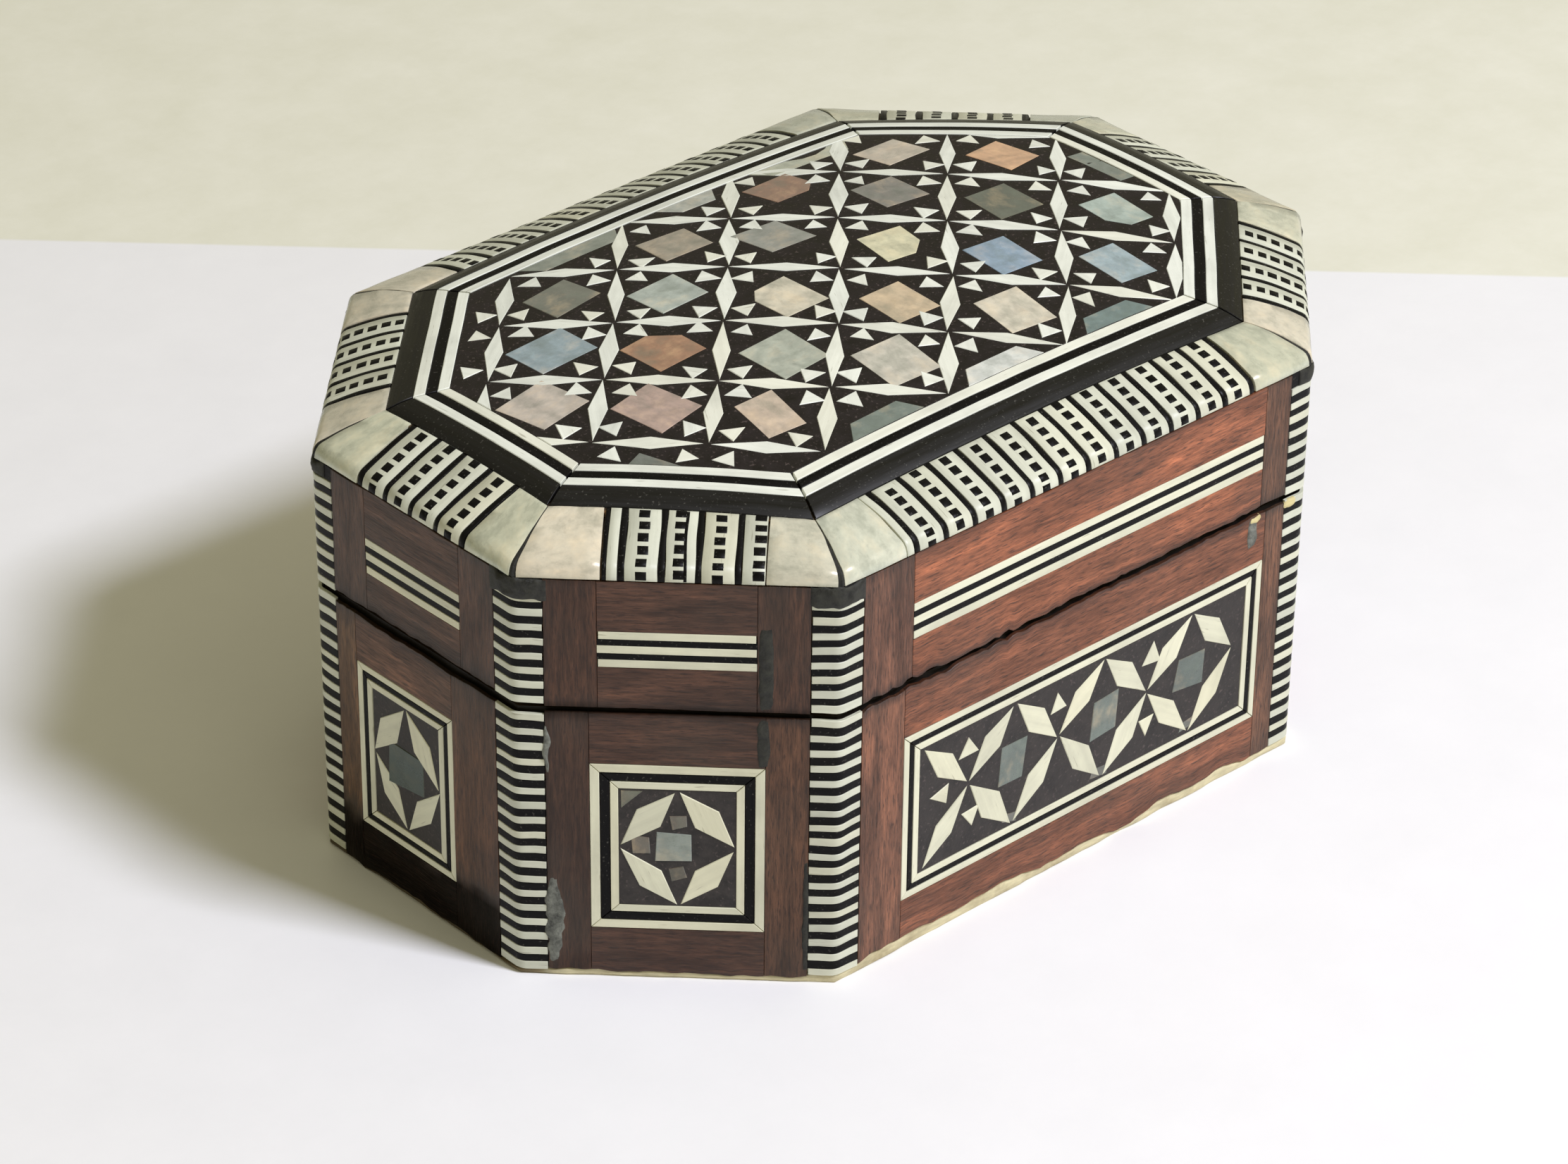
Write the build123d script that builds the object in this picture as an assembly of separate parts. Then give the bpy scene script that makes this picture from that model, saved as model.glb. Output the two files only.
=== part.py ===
"""An octagonal wooden jewellery box with a crowned, hinged lid, inlaid with bone, ebony and pearl shell.

Millimetres. The origin is the centre of the underside, +X runs along the length, -Y faces the front
and +Z is up. The lid turns about the barrels of two butt hinges behind the back wall.
"""
import os
from math import cos, hypot, radians, sin, sqrt, tan

from build123d import *

# ---------------------------------------------------------------- driving dimensions
LENGTH = 150.0  # across the two end facets
WIDTH = 102.6  # across the two long facets
CORNER_LEG = 30.4  # each corner is cut at 45 degrees by this much
BASE_TOP = 42.7  # top edge of the lower box
SEAM = 0.6  # gap between the lower box and the closed lid
RIM_TOP = 63.0  # where the upright lid wall meets the rounded bevel
CROWN_TOP = 72.5  # highest point of the crowned lid
CROWN_FALL_X = (60.0, 2.4)  # distance from the centre along X, and the fall there
CROWN_FALL_Y = (37.5, 2.6)  # the same along Y

VENEER = 1.0  # wood, bone and ebony facing outside the boards
GLUE = 0.05  # glue line between layers
BOARD_DEPTH = 6.0  # depth of the inner face of the boards behind the outer face
LINING = 0.8  # velvet on card inside the boards

BEVEL_WIDTH = 9.25  # plan width of the bevel
BEVEL_HEIGHT = 5.3
BEVEL_SHELL = 1.2  # thickness of the pearl and lattice on the bevel
BAND_WIDTH = 4.0  # flat ebony band inside the bevel
BONE_LINE = 1.75  # outer and inner line of the top stringing
EBONY_LINE = 1.3  # middle line of the top stringing
TOP_LAYER = 1.0  # thickness of everything laid on the top board

POST_LEG = 4.0  # striped corner facing, along each facet
STRIPE_BONE = 1.22
BASE_STRIPES = 18
LID_STRIPES = 8
LID_STRIPES_TOP = 60.6  # dark filler fills the posts from here to the bevel

HINGE_X = 25.0
HINGE_WIDTH = 16.0
LEAF = 0.7
LEAF_DEPTH = 5.0
BARREL_RADIUS = 1.5
BARREL_PROUD = 0.05  # gap between the back face and the barrel
PIN_RADIUS = 0.65
PIN_CLEARANCE = 0.05

# ---------------------------------------------------------------- derived places
LID_BOTTOM = BASE_TOP + SEAM
BASE_VENEER_BOTTOM = 1.4  # the base board's edge shows below this
BASE_BOARD_TOP = 3.0
TOP_BOARD_BOTTOM = 60.0
HALF_TURN = tan(radians(22.5))  # travel of an octagon corner along a facet per unit of inset
BAND_INSET = BEVEL_WIDTH
STRING_INSET = BAND_INSET + BAND_WIDTH
FIELD_INSET = STRING_INSET + 2 * BONE_LINE + EBONY_LINE
PIVOT_Y = WIDTH / 2 + BARREL_PROUD + BARREL_RADIUS
PIVOT_Z = BASE_TOP + SEAM / 2
SIDES = ("front", "front_right", "right", "back_right", "back", "back_left", "left", "front_left")


def octagon(inset):
    """Corners of the plan outline moved inwards, starting at the front's left end, anticlockwise."""
    x = LENGTH / 2 - inset
    y = WIDTH / 2 - inset
    leg = CORNER_LEG - (2 - sqrt(2)) * inset
    return [(leg - x, -y), (x - leg, -y), (x, leg - y), (x, y - leg),
            (x - leg, y), (leg - x, y), (-x, y - leg), (-x, leg - y)]


class Facet:
    """One of the eight sides. u runs along it from its middle, and depth runs inwards."""

    def __init__(self, index):
        self.index = index
        corners = octagon(0)
        (x0, y0), (x1, y1) = corners[index], corners[(index + 1) % 8]
        self.length = hypot(x1 - x0, y1 - y0)
        self.along = ((x1 - x0) / self.length, (y1 - y0) / self.length)
        self.outward = (self.along[1], -self.along[0])
        self.middle = ((x0 + x1) / 2, (y0 + y1) / 2)
        self.is_long = self.length > WIDTH / 2 + CORNER_LEG / 2

    def point(self, u, depth):
        """Plan position of a place on this side."""
        return (self.middle[0] + u * self.along[0] - depth * self.outward[0],
                self.middle[1] + u * self.along[1] - depth * self.outward[1])

    def plane(self, depth):
        """Upright plane facing outwards at a depth: x is u and y is height."""
        x, y = self.point(0, depth)
        return Plane(origin=(x, y, 0), x_dir=(*self.along, 0), z_dir=(*self.outward, 0))

    def tile(self, outline, depth=0.0, thickness=VENEER):
        """A flat piece set in the side, from its (u, z) outline."""
        face = make_face(Polyline(*outline, close=True))
        return extrude(self.plane(depth) * face, amount=-thickness).solid()

    def slab(self, u0, u1, z0, z1, depth=0.0, thickness=VENEER):
        """A rectangular piece set in the side."""
        return self.tile([(u0, z0), (u1, z0), (u1, z1), (u0, z1)], depth, thickness)


FACETS = [Facet(i) for i in range(8)]


def prism(outline, z0, z1):
    """Upright prism over a plan outline."""
    face = make_face(Polyline(*outline, close=True))
    return extrude(Pos(0, 0, z0) * face, amount=z1 - z0).solid()


def save(name, solids):
    """Write one node, holding one solid or a group of separate solids."""
    parts = list(solids)
    shape = parts[0] if len(parts) == 1 else Compound(children=parts)
    export_step(shape, f"parts/{name}.step")


def ring_quad(index, outer, inner):
    """Mitred plan outline of one side between two insets."""
    a, b = octagon(outer), octagon(inner)
    following = (index + 1) % 8
    return [a[index], a[following], b[following], b[index]]


def about(outline, factor):
    """The outline grown or shrunk about its mean point."""
    cx = sum(p[0] for p in outline) / len(outline)
    cy = sum(p[1] for p in outline) / len(outline)
    return [(cx + (x - cx) * factor, cy + (y - cy) * factor) for x, y in outline]


def clip(outline, boundary):
    """The part of a convex outline inside a convex anticlockwise boundary."""
    kept = list(outline)
    for (ax, ay), (bx, by) in zip(boundary, boundary[1:] + boundary[:1]):
        side = [(bx - ax) * (y - ay) - (by - ay) * (x - ax) for x, y in kept]
        result = []
        for i, here in enumerate(kept):
            before, s0, s1 = kept[i - 1], side[i - 1], side[i]
            if (s0 < 0) != (s1 < 0):
                t = s0 / (s0 - s1)
                result.append(tuple(p + t * (q - p) for p, q in zip(before, here)))
            if s1 >= 0:
                result.append(here)
        kept = result
    return kept


def area(outline):
    pairs = zip(outline, outline[1:] + outline[:1])
    return abs(sum(x0 * y1 - x1 * y0 for (x0, y0), (x1, y1) in pairs)) / 2


def rhombus(start, end, width, gap):
    """Slim diamond lying between two points, kept clear of both."""
    dx, dy = end[0] - start[0], end[1] - start[1]
    span = hypot(dx, dy)
    ux, uy = dx / span, dy / span
    mx, my = (start[0] + end[0]) / 2, (start[1] + end[1]) / 2
    half = span / 2 - gap
    return [(mx - ux * half, my - uy * half), (mx + uy * width / 2, my - ux * width / 2),
            (mx + ux * half, my + uy * half), (mx - uy * width / 2, my + ux * width / 2)]


def square(centre, side):
    x, y, h = centre[0], centre[1], side / 2
    return [(x - h, y - h), (x + h, y - h), (x + h, y + h), (x - h, y + h)]


def arrow(node, direction, near, height, base):
    """Small triangle that points away from a node along a direction."""
    (x, y), (dx, dy) = node, direction
    bx, by = x + dx * near, y + dy * near
    return [(bx + dy * base / 2, by - dx * base / 2), (bx + dx * height, by + dy * height),
            (bx - dy * base / 2, by + dx * base / 2)]


# ---------------------------------------------------------------- boards
HINGE_PLACES = (-HINGE_X, HINGE_X)
MORTISE_SLACK = 0.05
NAIL_X = 5.0
NAIL_LENGTH = 6.0
NAIL_RADIUS = 0.6
NAIL_HEAD = 1.2
NAIL_HEAD_DEPTH = 0.35
NAIL_SLACK = 0.02
NAIL_DEPTH = 2.9  # distance of the nails from the back face


def mortises(up):
    """Space for the hinge leaves and nails, in the base (up=-1) or in the lid (up=1)."""
    edge = BASE_TOP if up < 0 else LID_BOTTOM
    deep = edge + up * (LEAF + MORTISE_SLACK)
    tools = []
    for x in HINGE_PLACES:
        wide = HINGE_WIDTH / 2 + MORTISE_SLACK
        back = WIDTH / 2
        front = back - LEAF_DEPTH - MORTISE_SLACK
        outline = [(x - wide, front), (x + wide, front), (x + wide, back + 1), (x - wide, back + 1)]
        tools.append(prism(outline, min(deep, edge - up), max(deep, edge - up)))
        for side in (-1, 1):
            hole = Cylinder(NAIL_RADIUS + NAIL_SLACK, NAIL_LENGTH + 1)
            tools.append(Pos(x + side * NAIL_X, back - NAIL_DEPTH, edge + up * (NAIL_LENGTH + 1) / 2) * hole)
    return tools


def base_board():
    """Bottom board: its pale edge shows below the veneer, and the walls stand on it."""
    foot = prism(octagon(0.4), 0, BASE_VENEER_BOTTOM - GLUE)
    body = prism(octagon(VENEER + GLUE), 0, BASE_BOARD_TOP)
    save("base_board", [(foot + body).solid()])


def wall_boards(prefix, z0, z1, up):
    """Eight mitred boards of the lower box or of the lid's rim."""
    for facet, side in zip(FACETS, SIDES):
        board = prism(ring_quad(facet.index, VENEER + GLUE, BOARD_DEPTH), z0, z1)
        if side == "back":
            board = board - mortises(up)
        save(f"{prefix}_{side}", [board.solid()])


def linings():
    """Velvet pads and wall panels inside the base and the lid."""
    wall_inner = BOARD_DEPTH + GLUE + LINING
    floor_top = BASE_BOARD_TOP + GLUE + 1.6
    save("base_floor_velvet", [prism(octagon(BOARD_DEPTH + GLUE), BASE_BOARD_TOP + GLUE, floor_top)])
    base = [prism(ring_quad(i, BOARD_DEPTH + GLUE, wall_inner), floor_top + GLUE, BASE_TOP - 1.2)
            for i in range(8)]
    save("base_wall_velvet", base)
    ceiling = TOP_BOARD_BOTTOM - GLUE
    save("lid_top_velvet", [prism(octagon(BOARD_DEPTH + GLUE), ceiling - 1.6, ceiling)])
    lid = [prism(ring_quad(i, BOARD_DEPTH + GLUE, wall_inner), LID_BOTTOM + 1.2, ceiling - 1.6 - GLUE)
           for i in range(8)]
    save("lid_wall_velvet", lid)


# ---------------------------------------------------------------- side facings
STILE = 8.0  # width of the upright veneer next to each post
BORDER_BONE = 1.1
BORDER_EBONY = 0.9
BORDER = 2 * BORDER_BONE + BORDER_EBONY
PANEL_MARGIN = 9.8  # from the facet's end to the inlaid panel
PANEL_LOW = 8.2
PANEL_HIGH = 34.6
LINE_BONE = 1.15  # the five lines let into each lid wall
LINE_EBONY = 1.0
LINE_LOW = 49.8
LINE_MARGIN = 11.0


def corner_outline(index, inner):
    """Plan outline of the facing round one upright edge, with its arris eased."""
    before, after = FACETS[index - 1], FACETS[index]
    arris = 1.0
    ease = 0.2
    end, start = before.length / 2, -after.length / 2
    tip = [(p + q) / 2 for p, q in zip(before.point(end, ease), after.point(start, ease))]
    return [before.point(end - POST_LEG, 0), before.point(end - arris, 0), tuple(tip),
            after.point(start + arris, 0), after.point(start + POST_LEG, 0),
            after.point(start + POST_LEG, inner), octagon(inner)[index],
            before.point(end - POST_LEG, inner)]


def striped_posts(prefix, z0, z1, stripes, cap):
    """Alternating bone and ebony round every upright edge; cap adds filler above the last stripe."""
    ebony_height = (z1 - z0 - stripes * STRIPE_BONE) / (stripes - 1)
    bone, ebony = [], []
    for index in range(8):
        outline = corner_outline(index, VENEER)
        for k in range(stripes):
            low = z0 + k * (STRIPE_BONE + ebony_height)
            bone.append(prism(outline, low, low + STRIPE_BONE))
            if k < stripes - 1:
                ebony.append(prism(outline, low + STRIPE_BONE, low + STRIPE_BONE + ebony_height))
        if cap > z1:
            ebony.append(prism(outline, z1, cap))
    save(f"{prefix}_post_bone", bone)
    save(f"{prefix}_post_ebony", ebony)


def framed(facet, u, low, high, outer, inner):
    """Four mitred strips of a rectangular border, between two distances from its outer edge."""
    rings = []
    for d in (outer, inner):
        rings.append([(d - u, low + d), (u - d, low + d), (u - d, high - d), (d - u, high - d)])
    a, b = rings
    return [facet.tile([a[i], a[(i + 1) % 4], b[(i + 1) % 4], b[i]]) for i in range(4)]


def veneers():
    """Upright stiles beside the posts and level rails above and below each inlay."""
    stiles, rails, lid_stiles, lid_rails = [], [], [], []
    line_high = LINE_LOW + 3 * LINE_BONE + 2 * LINE_EBONY
    for facet in FACETS:
        end = facet.length / 2 - POST_LEG
        panel = facet.length / 2 - PANEL_MARGIN
        line = facet.length / 2 - LINE_MARGIN
        for side in (-1, 1):
            u0, u1 = sorted((side * panel, side * end))
            stiles.append(facet.slab(u0, u1, BASE_VENEER_BOTTOM, BASE_TOP))
            u0, u1 = sorted((side * line, side * end))
            lid_stiles.append(facet.slab(u0, u1, LID_BOTTOM, RIM_TOP - GLUE))
        rails.append(facet.slab(-panel, panel, BASE_VENEER_BOTTOM, PANEL_LOW))
        upper = facet.slab(-panel, panel, PANEL_HIGH, BASE_TOP)
        lower = facet.slab(-line, line, LID_BOTTOM, LINE_LOW)
        if SIDES[facet.index] == "back":
            upper = (upper - mortises(-1)).solid()
            lower = (lower - mortises(1)).solid()
        rails.append(upper)
        lid_rails.append(lower)
        lid_rails.append(facet.slab(-line, line, line_high, RIM_TOP - GLUE))
    save("base_veneer_stiles", stiles)
    save("base_veneer_rails", rails)
    save("lid_veneer_stiles", lid_stiles)
    save("lid_veneer_rails", lid_rails)


def lid_lines():
    """Three bone and two ebony lines let into each wall of the lid."""
    bone, ebony = [], []
    for facet in FACETS:
        half = facet.length / 2 - LINE_MARGIN
        for k in range(3):
            low = LINE_LOW + k * (LINE_BONE + LINE_EBONY)
            bone.append(facet.slab(-half, half, low, low + LINE_BONE))
            if k < 2:
                ebony.append(facet.slab(-half, half, low + LINE_BONE, low + LINE_BONE + LINE_EBONY))
    save("lid_line_bone", bone)
    save("lid_line_ebony", ebony)


TIP_GAP = 0.5  # rhombi stop this far short of the points they aim at
POCKET_GROWTH = 1.015  # pockets are this much larger than their tiles
LONG_PERIODS = 3.5  # crossings along a long panel
STAR_RHOMB_WIDTH = 3.8
SIDE_RHOMB_WIDTH = 3.4
STAR_PEARL = 5.0
SIDE_PEARL = 5.4
PEARL_BIT = 1.5  # small pearl in the arms and in one corner of a star panel
ARROW_HEIGHT = 3.0  # small triangles, on the sides and on the top
SIDE_ARROW_NEAR = 3.5  # from the crossing to the triangle's base
SIDE_ARROW_BASE = 3.1


def star_tiles(half, low, high):
    """Pattern of a short panel: four rhombi round a pearl square, with small bits of pearl."""
    middle = (low + high) / 2
    points = [(0, low), (half, middle), (0, high), (-half, middle)]
    bone = [rhombus(points[i], points[(i + 1) % 4], STAR_RHOMB_WIDTH, TIP_GAP) for i in range(4)]
    arm = STAR_PEARL / 2 + PEARL_BIT
    corner = (PEARL_BIT - half, high - PEARL_BIT)
    bits = [(0, middle + arm), (0, middle - arm), corner]
    pearl = [square((0, middle), STAR_PEARL)] + [square(place, PEARL_BIT) for place in bits]
    return bone, [], pearl


def lattice_tiles(half, low, high):
    """Pattern of a long panel: crossed rhombi with pearl squares between the crossings."""
    middle = (low + high) / 2
    pitch = 2 * half / LONG_PERIODS
    bone, small, pearl = [], [], []
    for k in range(4):
        node = (-half + (k + 0.5) * pitch, middle)
        on_border = k == 3
        for sx in (-1,) if on_border else (-1, 1):
            for z in (low, high):
                bone.append(rhombus(node, (node[0] + sx * pitch / 2, z), SIDE_RHOMB_WIDTH, TIP_GAP))
        if not on_border:
            small += [arrow(node, (0, dz), SIDE_ARROW_NEAR, ARROW_HEIGHT, SIDE_ARROW_BASE) for dz in (-1, 1)]
        if k:
            pearl.append(square((-half + k * pitch, middle), SIDE_PEARL))
    small.append(arrow((-half + pitch / 2, middle), (-1, 0), SIDE_ARROW_NEAR, ARROW_HEIGHT, SIDE_ARROW_BASE))
    return bone, small, pearl


def side_panels():
    """Inlaid panel in the middle of each wall of the base."""
    border_bone, border_ebony, ground, bone, small, pearl = [], [], [], [], [], []
    for facet in FACETS:
        half = facet.length / 2 - PANEL_MARGIN
        edges = (0, BORDER_BONE, BORDER_BONE + BORDER_EBONY, BORDER)
        border_bone += framed(facet, half, PANEL_LOW, PANEL_HIGH, edges[0], edges[1])
        border_ebony += framed(facet, half, PANEL_LOW, PANEL_HIGH, edges[1], edges[2])
        border_bone += framed(facet, half, PANEL_LOW, PANEL_HIGH, edges[2], edges[3])
        u, low, high = half - BORDER, PANEL_LOW + BORDER, PANEL_HIGH - BORDER
        pattern = lattice_tiles if facet.is_long else star_tiles
        tiles = pattern(u, low, high)
        field = facet.slab(-u, u, low, high)
        pockets = [facet.tile(about(t, POCKET_GROWTH), -1, VENEER + 2) for group in tiles for t in group]
        ground += (field - pockets).solids()
        for group, outlines in zip((bone, small, pearl), tiles):
            group += [facet.tile(about(t, 1 / POCKET_GROWTH)) for t in outlines]
    save("base_panel_border_bone", border_bone)
    save("base_panel_border_ebony", border_ebony)
    save("base_panel_ground", ground)
    save("base_panel_rhombi", bone)
    save("base_panel_triangles", small)
    save("base_panel_pearl", pearl)


# ---------------------------------------------------------------- crowned top
LATTICE_PITCH = 11.0  # half the diagonal of a lattice cell
LATTICE_CENTRE = (2.6, 0.7)
TOP_RHOMB_WIDTH = 2.4
ARROW_NEAR = 2.8
ARROW_BASE = 3.5
TOP_PEARL = 8.6
LEAST_SHARES = (0.35, 0.99, 0.15)  # rhombi, triangles and pearls cut to less than this are left out


def crown(drop, low=TOP_BOARD_BOTTOM - 5):
    """Solid under the crowned surface, lowered by drop: an arc along Y swung along X."""
    radius_x = CROWN_FALL_X[0] ** 2 / (2 * CROWN_FALL_X[1])
    radius_y = CROWN_FALL_Y[0] ** 2 / (2 * CROWN_FALL_Y[1])
    top = CROWN_TOP - drop
    fall = radius_y - sqrt(radius_y ** 2 - WIDTH ** 2 / 4)
    half = WIDTH / 2
    arc = ThreePointArc((0, -half, top - fall), (0, 0, top), (0, half, top - fall))
    sides = Polyline((0, half, top - fall), (0, half, low), (0, -half, low), (0, -half, top - fall))
    swing = 15
    section = make_face([arc, sides])
    hub = Axis((0, 0, top - radius_x), (0, 1, 0))
    return revolve(section.rotate(hub, -swing / 2), hub, revolution_arc=swing).solid()


CROWN_SOLID = crown(0)
UNDER_SOLID = crown(TOP_LAYER)


def laid(outline):
    """A piece of the top layer over a plan outline."""
    return ((prism(outline, TOP_BOARD_BOTTOM, CROWN_TOP + 5) & CROWN_SOLID) - UNDER_SOLID).solid()


def bevel_point(turn, drop=0.0):
    """(inset, z) on the bevel: turn runs from 0 at its inner edge to 90 degrees at the wall."""
    return (BEVEL_WIDTH - (BEVEL_WIDTH - drop) * sin(radians(turn)),
            RIM_TOP + (BEVEL_HEIGHT - drop) * cos(radians(turn)))


BEVEL_STEPS = 6


def top_board():
    """Crowned top board with a rounded edge that carries the bevel facing."""
    drop = BEVEL_SHELL + GLUE
    levels = [bevel_point(90 * k / BEVEL_STEPS, drop) for k in range(BEVEL_STEPS + 1)]
    board = prism(octagon(drop), TOP_BOARD_BOTTOM, RIM_TOP)
    for (inset1, z1), (inset0, z0) in zip(levels, levels[1:]):
        lower = make_face(Polyline(*octagon(inset0), close=True))
        upper = make_face(Polyline(*octagon(inset1), close=True))
        board = board + loft([Pos(0, 0, z0) * lower, Pos(0, 0, z1) * upper], ruled=True)
    board = board + prism(octagon(BEVEL_WIDTH), TOP_BOARD_BOTTOM, CROWN_TOP)
    save("lid_top_board", [(board & crown(TOP_LAYER + GLUE)).solid()])


def top_layer():
    """Ebony band, stringing and mosaic of the crowned top."""
    band = [laid(ring_quad(i, BAND_INSET, STRING_INSET)) for i in range(8)]
    save("lid_border_band", band)
    first = STRING_INSET + BONE_LINE
    second = first + EBONY_LINE
    bone = [laid(ring_quad(i, STRING_INSET, first)) for i in range(8)]
    bone += [laid(ring_quad(i, second, FIELD_INSET)) for i in range(8)]
    save("lid_stringing_bone", bone)
    save("lid_stringing_ebony", [laid(ring_quad(i, first, second)) for i in range(8)])


def lattice_point(i, j):
    return (LATTICE_CENTRE[0] + i * LATTICE_PITCH, LATTICE_CENTRE[1] + j * LATTICE_PITCH)


def top_mosaic():
    """Bone lattice turned 45 degrees, a pearl square in every cell and four small triangles at every node."""
    boundary = octagon(FIELD_INSET + 0.1)
    rhombi, triangles, pearls = [], [], []
    for i in range(-6, 7):
        for j in range(-4, 5):
            here = lattice_point(i, j)
            if (i + j) % 2:
                pearls.append(square(here, TOP_PEARL))
                continue
            for dj in (-1, 1):
                rhombi.append(rhombus(here, lattice_point(i + 1, j + dj), TOP_RHOMB_WIDTH, TIP_GAP))
            for direction in ((1, 0), (0, 1), (-1, 0), (0, -1)):
                triangles.append(arrow(here, direction, ARROW_NEAR, ARROW_HEIGHT, ARROW_BASE))
    groups = []
    for outlines, least in zip((rhombi, triangles, pearls), LEAST_SHARES):
        cut = [(clip(o, boundary), area(o)) for o in outlines]
        groups.append([c for c, full in cut if len(c) > 2 and area(c) > least * full])
    pockets = [prism(about(o, POCKET_GROWTH), TOP_BOARD_BOTTOM, CROWN_TOP + 5) for g in groups for o in g]
    ground = laid(octagon(FIELD_INSET)) - pockets
    save("lid_mosaic_ground", ground.solids())
    for name, outlines in zip(("rhombi", "triangles", "pearl"), groups):
        save(f"lid_mosaic_{name}", [laid(about(o, 1 / POCKET_GROWTH)) for o in outlines])


# ---------------------------------------------------------------- bevel facing
LADDER_PITCH = 5.3
LADDER_WIDTH = 4.2
LADDER_COUNT = {True: 12, False: 4}  # on a long side, and on the others
SQUARE_WIDTH = 1.7
RUNGS = 6
RUNG_GAP = 0.22  # share of a rung above and below its square
MITRE_HALF = 0.3


def bevel_bar(facet, u0, u1, turn0=0.0, turn1=90.0, steps=BEVEL_STEPS):
    """A piece of the bevel facing between two places along the side and two turns down the slope."""
    turns = [turn0 + (turn1 - turn0) * k / steps for k in range(steps + 1)]
    outline = [bevel_point(t) for t in turns] + [bevel_point(t, BEVEL_SHELL) for t in reversed(turns)]
    x, y = facet.point(u0, 0)
    inwards = (-facet.outward[0], -facet.outward[1], 0)
    across = Plane(origin=(x, y, 0), x_dir=inwards, z_dir=(*facet.along, 0))
    face = make_face(Polyline(*outline, close=True))
    return extrude(across * face, amount=u1 - u0).solid()


def bevel():
    """Pearl at the corners of the bevel, and a lattice of bone and ebony in the middle of each side."""
    pearl, bone, squares, lines, fillers = [], [], [], [], []
    for facet in FACETS:
        count = LADDER_COUNT[facet.is_long]
        gap = LADDER_PITCH - LADDER_WIDTH
        run = count * LADDER_PITCH + gap
        for k in range(count + 1):
            u = -run / 2 + k * LADDER_PITCH
            lines.append(bevel_bar(facet, u, u + gap))
            if k == count:
                break
            ladder = bevel_bar(facet, u + gap, u + gap + LADDER_WIDTH)
            middle = u + gap + LADDER_WIDTH / 2
            for rung in range(RUNGS):
                step = 90 / RUNGS
                cell = ((rung + RUNG_GAP) * step, (rung + 1 - RUNG_GAP) * step)
                sides = (middle - SQUARE_WIDTH / 2, middle + SQUARE_WIDTH / 2)
                inlay = bevel_bar(facet, *sides, *cell, steps=1)
                squares.append(inlay)
                ladder = ladder - inlay
            bone += ladder.solids()
        end = facet.length / 2
        keep = MITRE_HALF / cos(radians(22.5))
        for side in (-1, 1):
            bar = bevel_bar(facet, *sorted((side * run / 2, side * end)))
            plan = [facet.point(side * run / 2, -1), facet.point(side * (end - keep + HALF_TURN), -1),
                    facet.point(side * (end - keep - BEVEL_WIDTH * 1.1 * HALF_TURN), BEVEL_WIDTH * 1.1),
                    facet.point(side * run / 2, BEVEL_WIDTH * 1.1)]
            pearl.append((bar & prism(plan, RIM_TOP - 1, CROWN_TOP)).solid())
    for index, (x, y) in enumerate(octagon(0)):
        inner = octagon(BEVEL_WIDTH)[index]
        span = hypot(inner[0] - x, inner[1] - y)
        inwards = ((inner[0] - x) / span, (inner[1] - y) / span)
        turns = [90 * k / BEVEL_STEPS for k in range(BEVEL_STEPS + 1)]
        stretch = 1 / cos(radians(22.5))
        profile = [bevel_point(t, MITRE_HALF / 2) for t in turns]
        profile += [bevel_point(t, BEVEL_SHELL) for t in reversed(turns)]
        outline = [(inset * stretch, z) for inset, z in profile]
        plane = Plane(origin=(x, y, 0), x_dir=(*inwards, 0), z_dir=(inwards[1], -inwards[0], 0))
        face = make_face(Polyline(*outline, close=True))
        fillers.append(extrude(plane * face, amount=MITRE_HALF * 0.95, both=True).solid())
    save("lid_bevel_pearl", pearl)
    save("lid_bevel_ladders", bone)
    save("lid_bevel_squares", squares)
    save("lid_bevel_lines", lines)
    save("lid_bevel_mitres", fillers)


# ---------------------------------------------------------------- hinges
KNUCKLE_HALF = 2.6  # half the length of the lid's knuckle
KNUCKLE_GAP = 0.1


def barrel(x0, x1):
    """Round knuckle on the hinge axis."""
    body = Pos((x0 + x1) / 2, PIVOT_Y, PIVOT_Z) * Rot(0, 90, 0) * Cylinder(BARREL_RADIUS, x1 - x0)
    return body


def leaf(up):
    """Leaf plate with its knuckles, for the base (up=-1) or for the lid (up=1)."""
    edge = BASE_TOP if up < 0 else LID_BOTTOM
    z0, z1 = sorted((edge, edge + up * LEAF))
    half = HINGE_WIDTH / 2
    back = WIDTH / 2
    knuckles = [(-half, -KNUCKLE_HALF - KNUCKLE_GAP), (KNUCKLE_HALF + KNUCKLE_GAP, half)]
    if up > 0:
        knuckles = [(-KNUCKLE_HALF, KNUCKLE_HALF)]
    plate = prism([(-half, back - LEAF_DEPTH), (half, back - LEAF_DEPTH), (half, back), (-half, back)], z0, z1)
    for x0, x1 in knuckles:
        tab = prism([(x0, back), (x1, back), (x1, PIVOT_Y), (x0, PIVOT_Y)], z0, z1)
        plate = plate + tab + barrel(x0, x1)
    clearance = PIN_CLEARANCE if up > 0 else 0.02
    plate = plate - Pos(0, PIVOT_Y, PIVOT_Z) * Rot(0, 90, 0) * Cylinder(PIN_RADIUS + clearance, HINGE_WIDTH * 2)
    for side in (-1, 1):
        hole = Cylinder(NAIL_RADIUS + NAIL_SLACK, 4)
        sink = Cylinder(NAIL_HEAD + NAIL_SLACK, 2 * (NAIL_HEAD_DEPTH + NAIL_SLACK))
        at = Pos(side * NAIL_X, back - NAIL_DEPTH, edge)
        plate = plate - at * hole - at * sink
    return plate.solid()


def nail(up):
    """Brass nail with a flat head, sunk flush in a leaf."""
    head = Pos(0, 0, up * NAIL_HEAD_DEPTH / 2) * Cylinder(NAIL_HEAD, NAIL_HEAD_DEPTH)
    shank = Pos(0, 0, up * NAIL_LENGTH / 2) * Cylinder(NAIL_RADIUS, NAIL_LENGTH)
    return (head + shank).solid()


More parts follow.
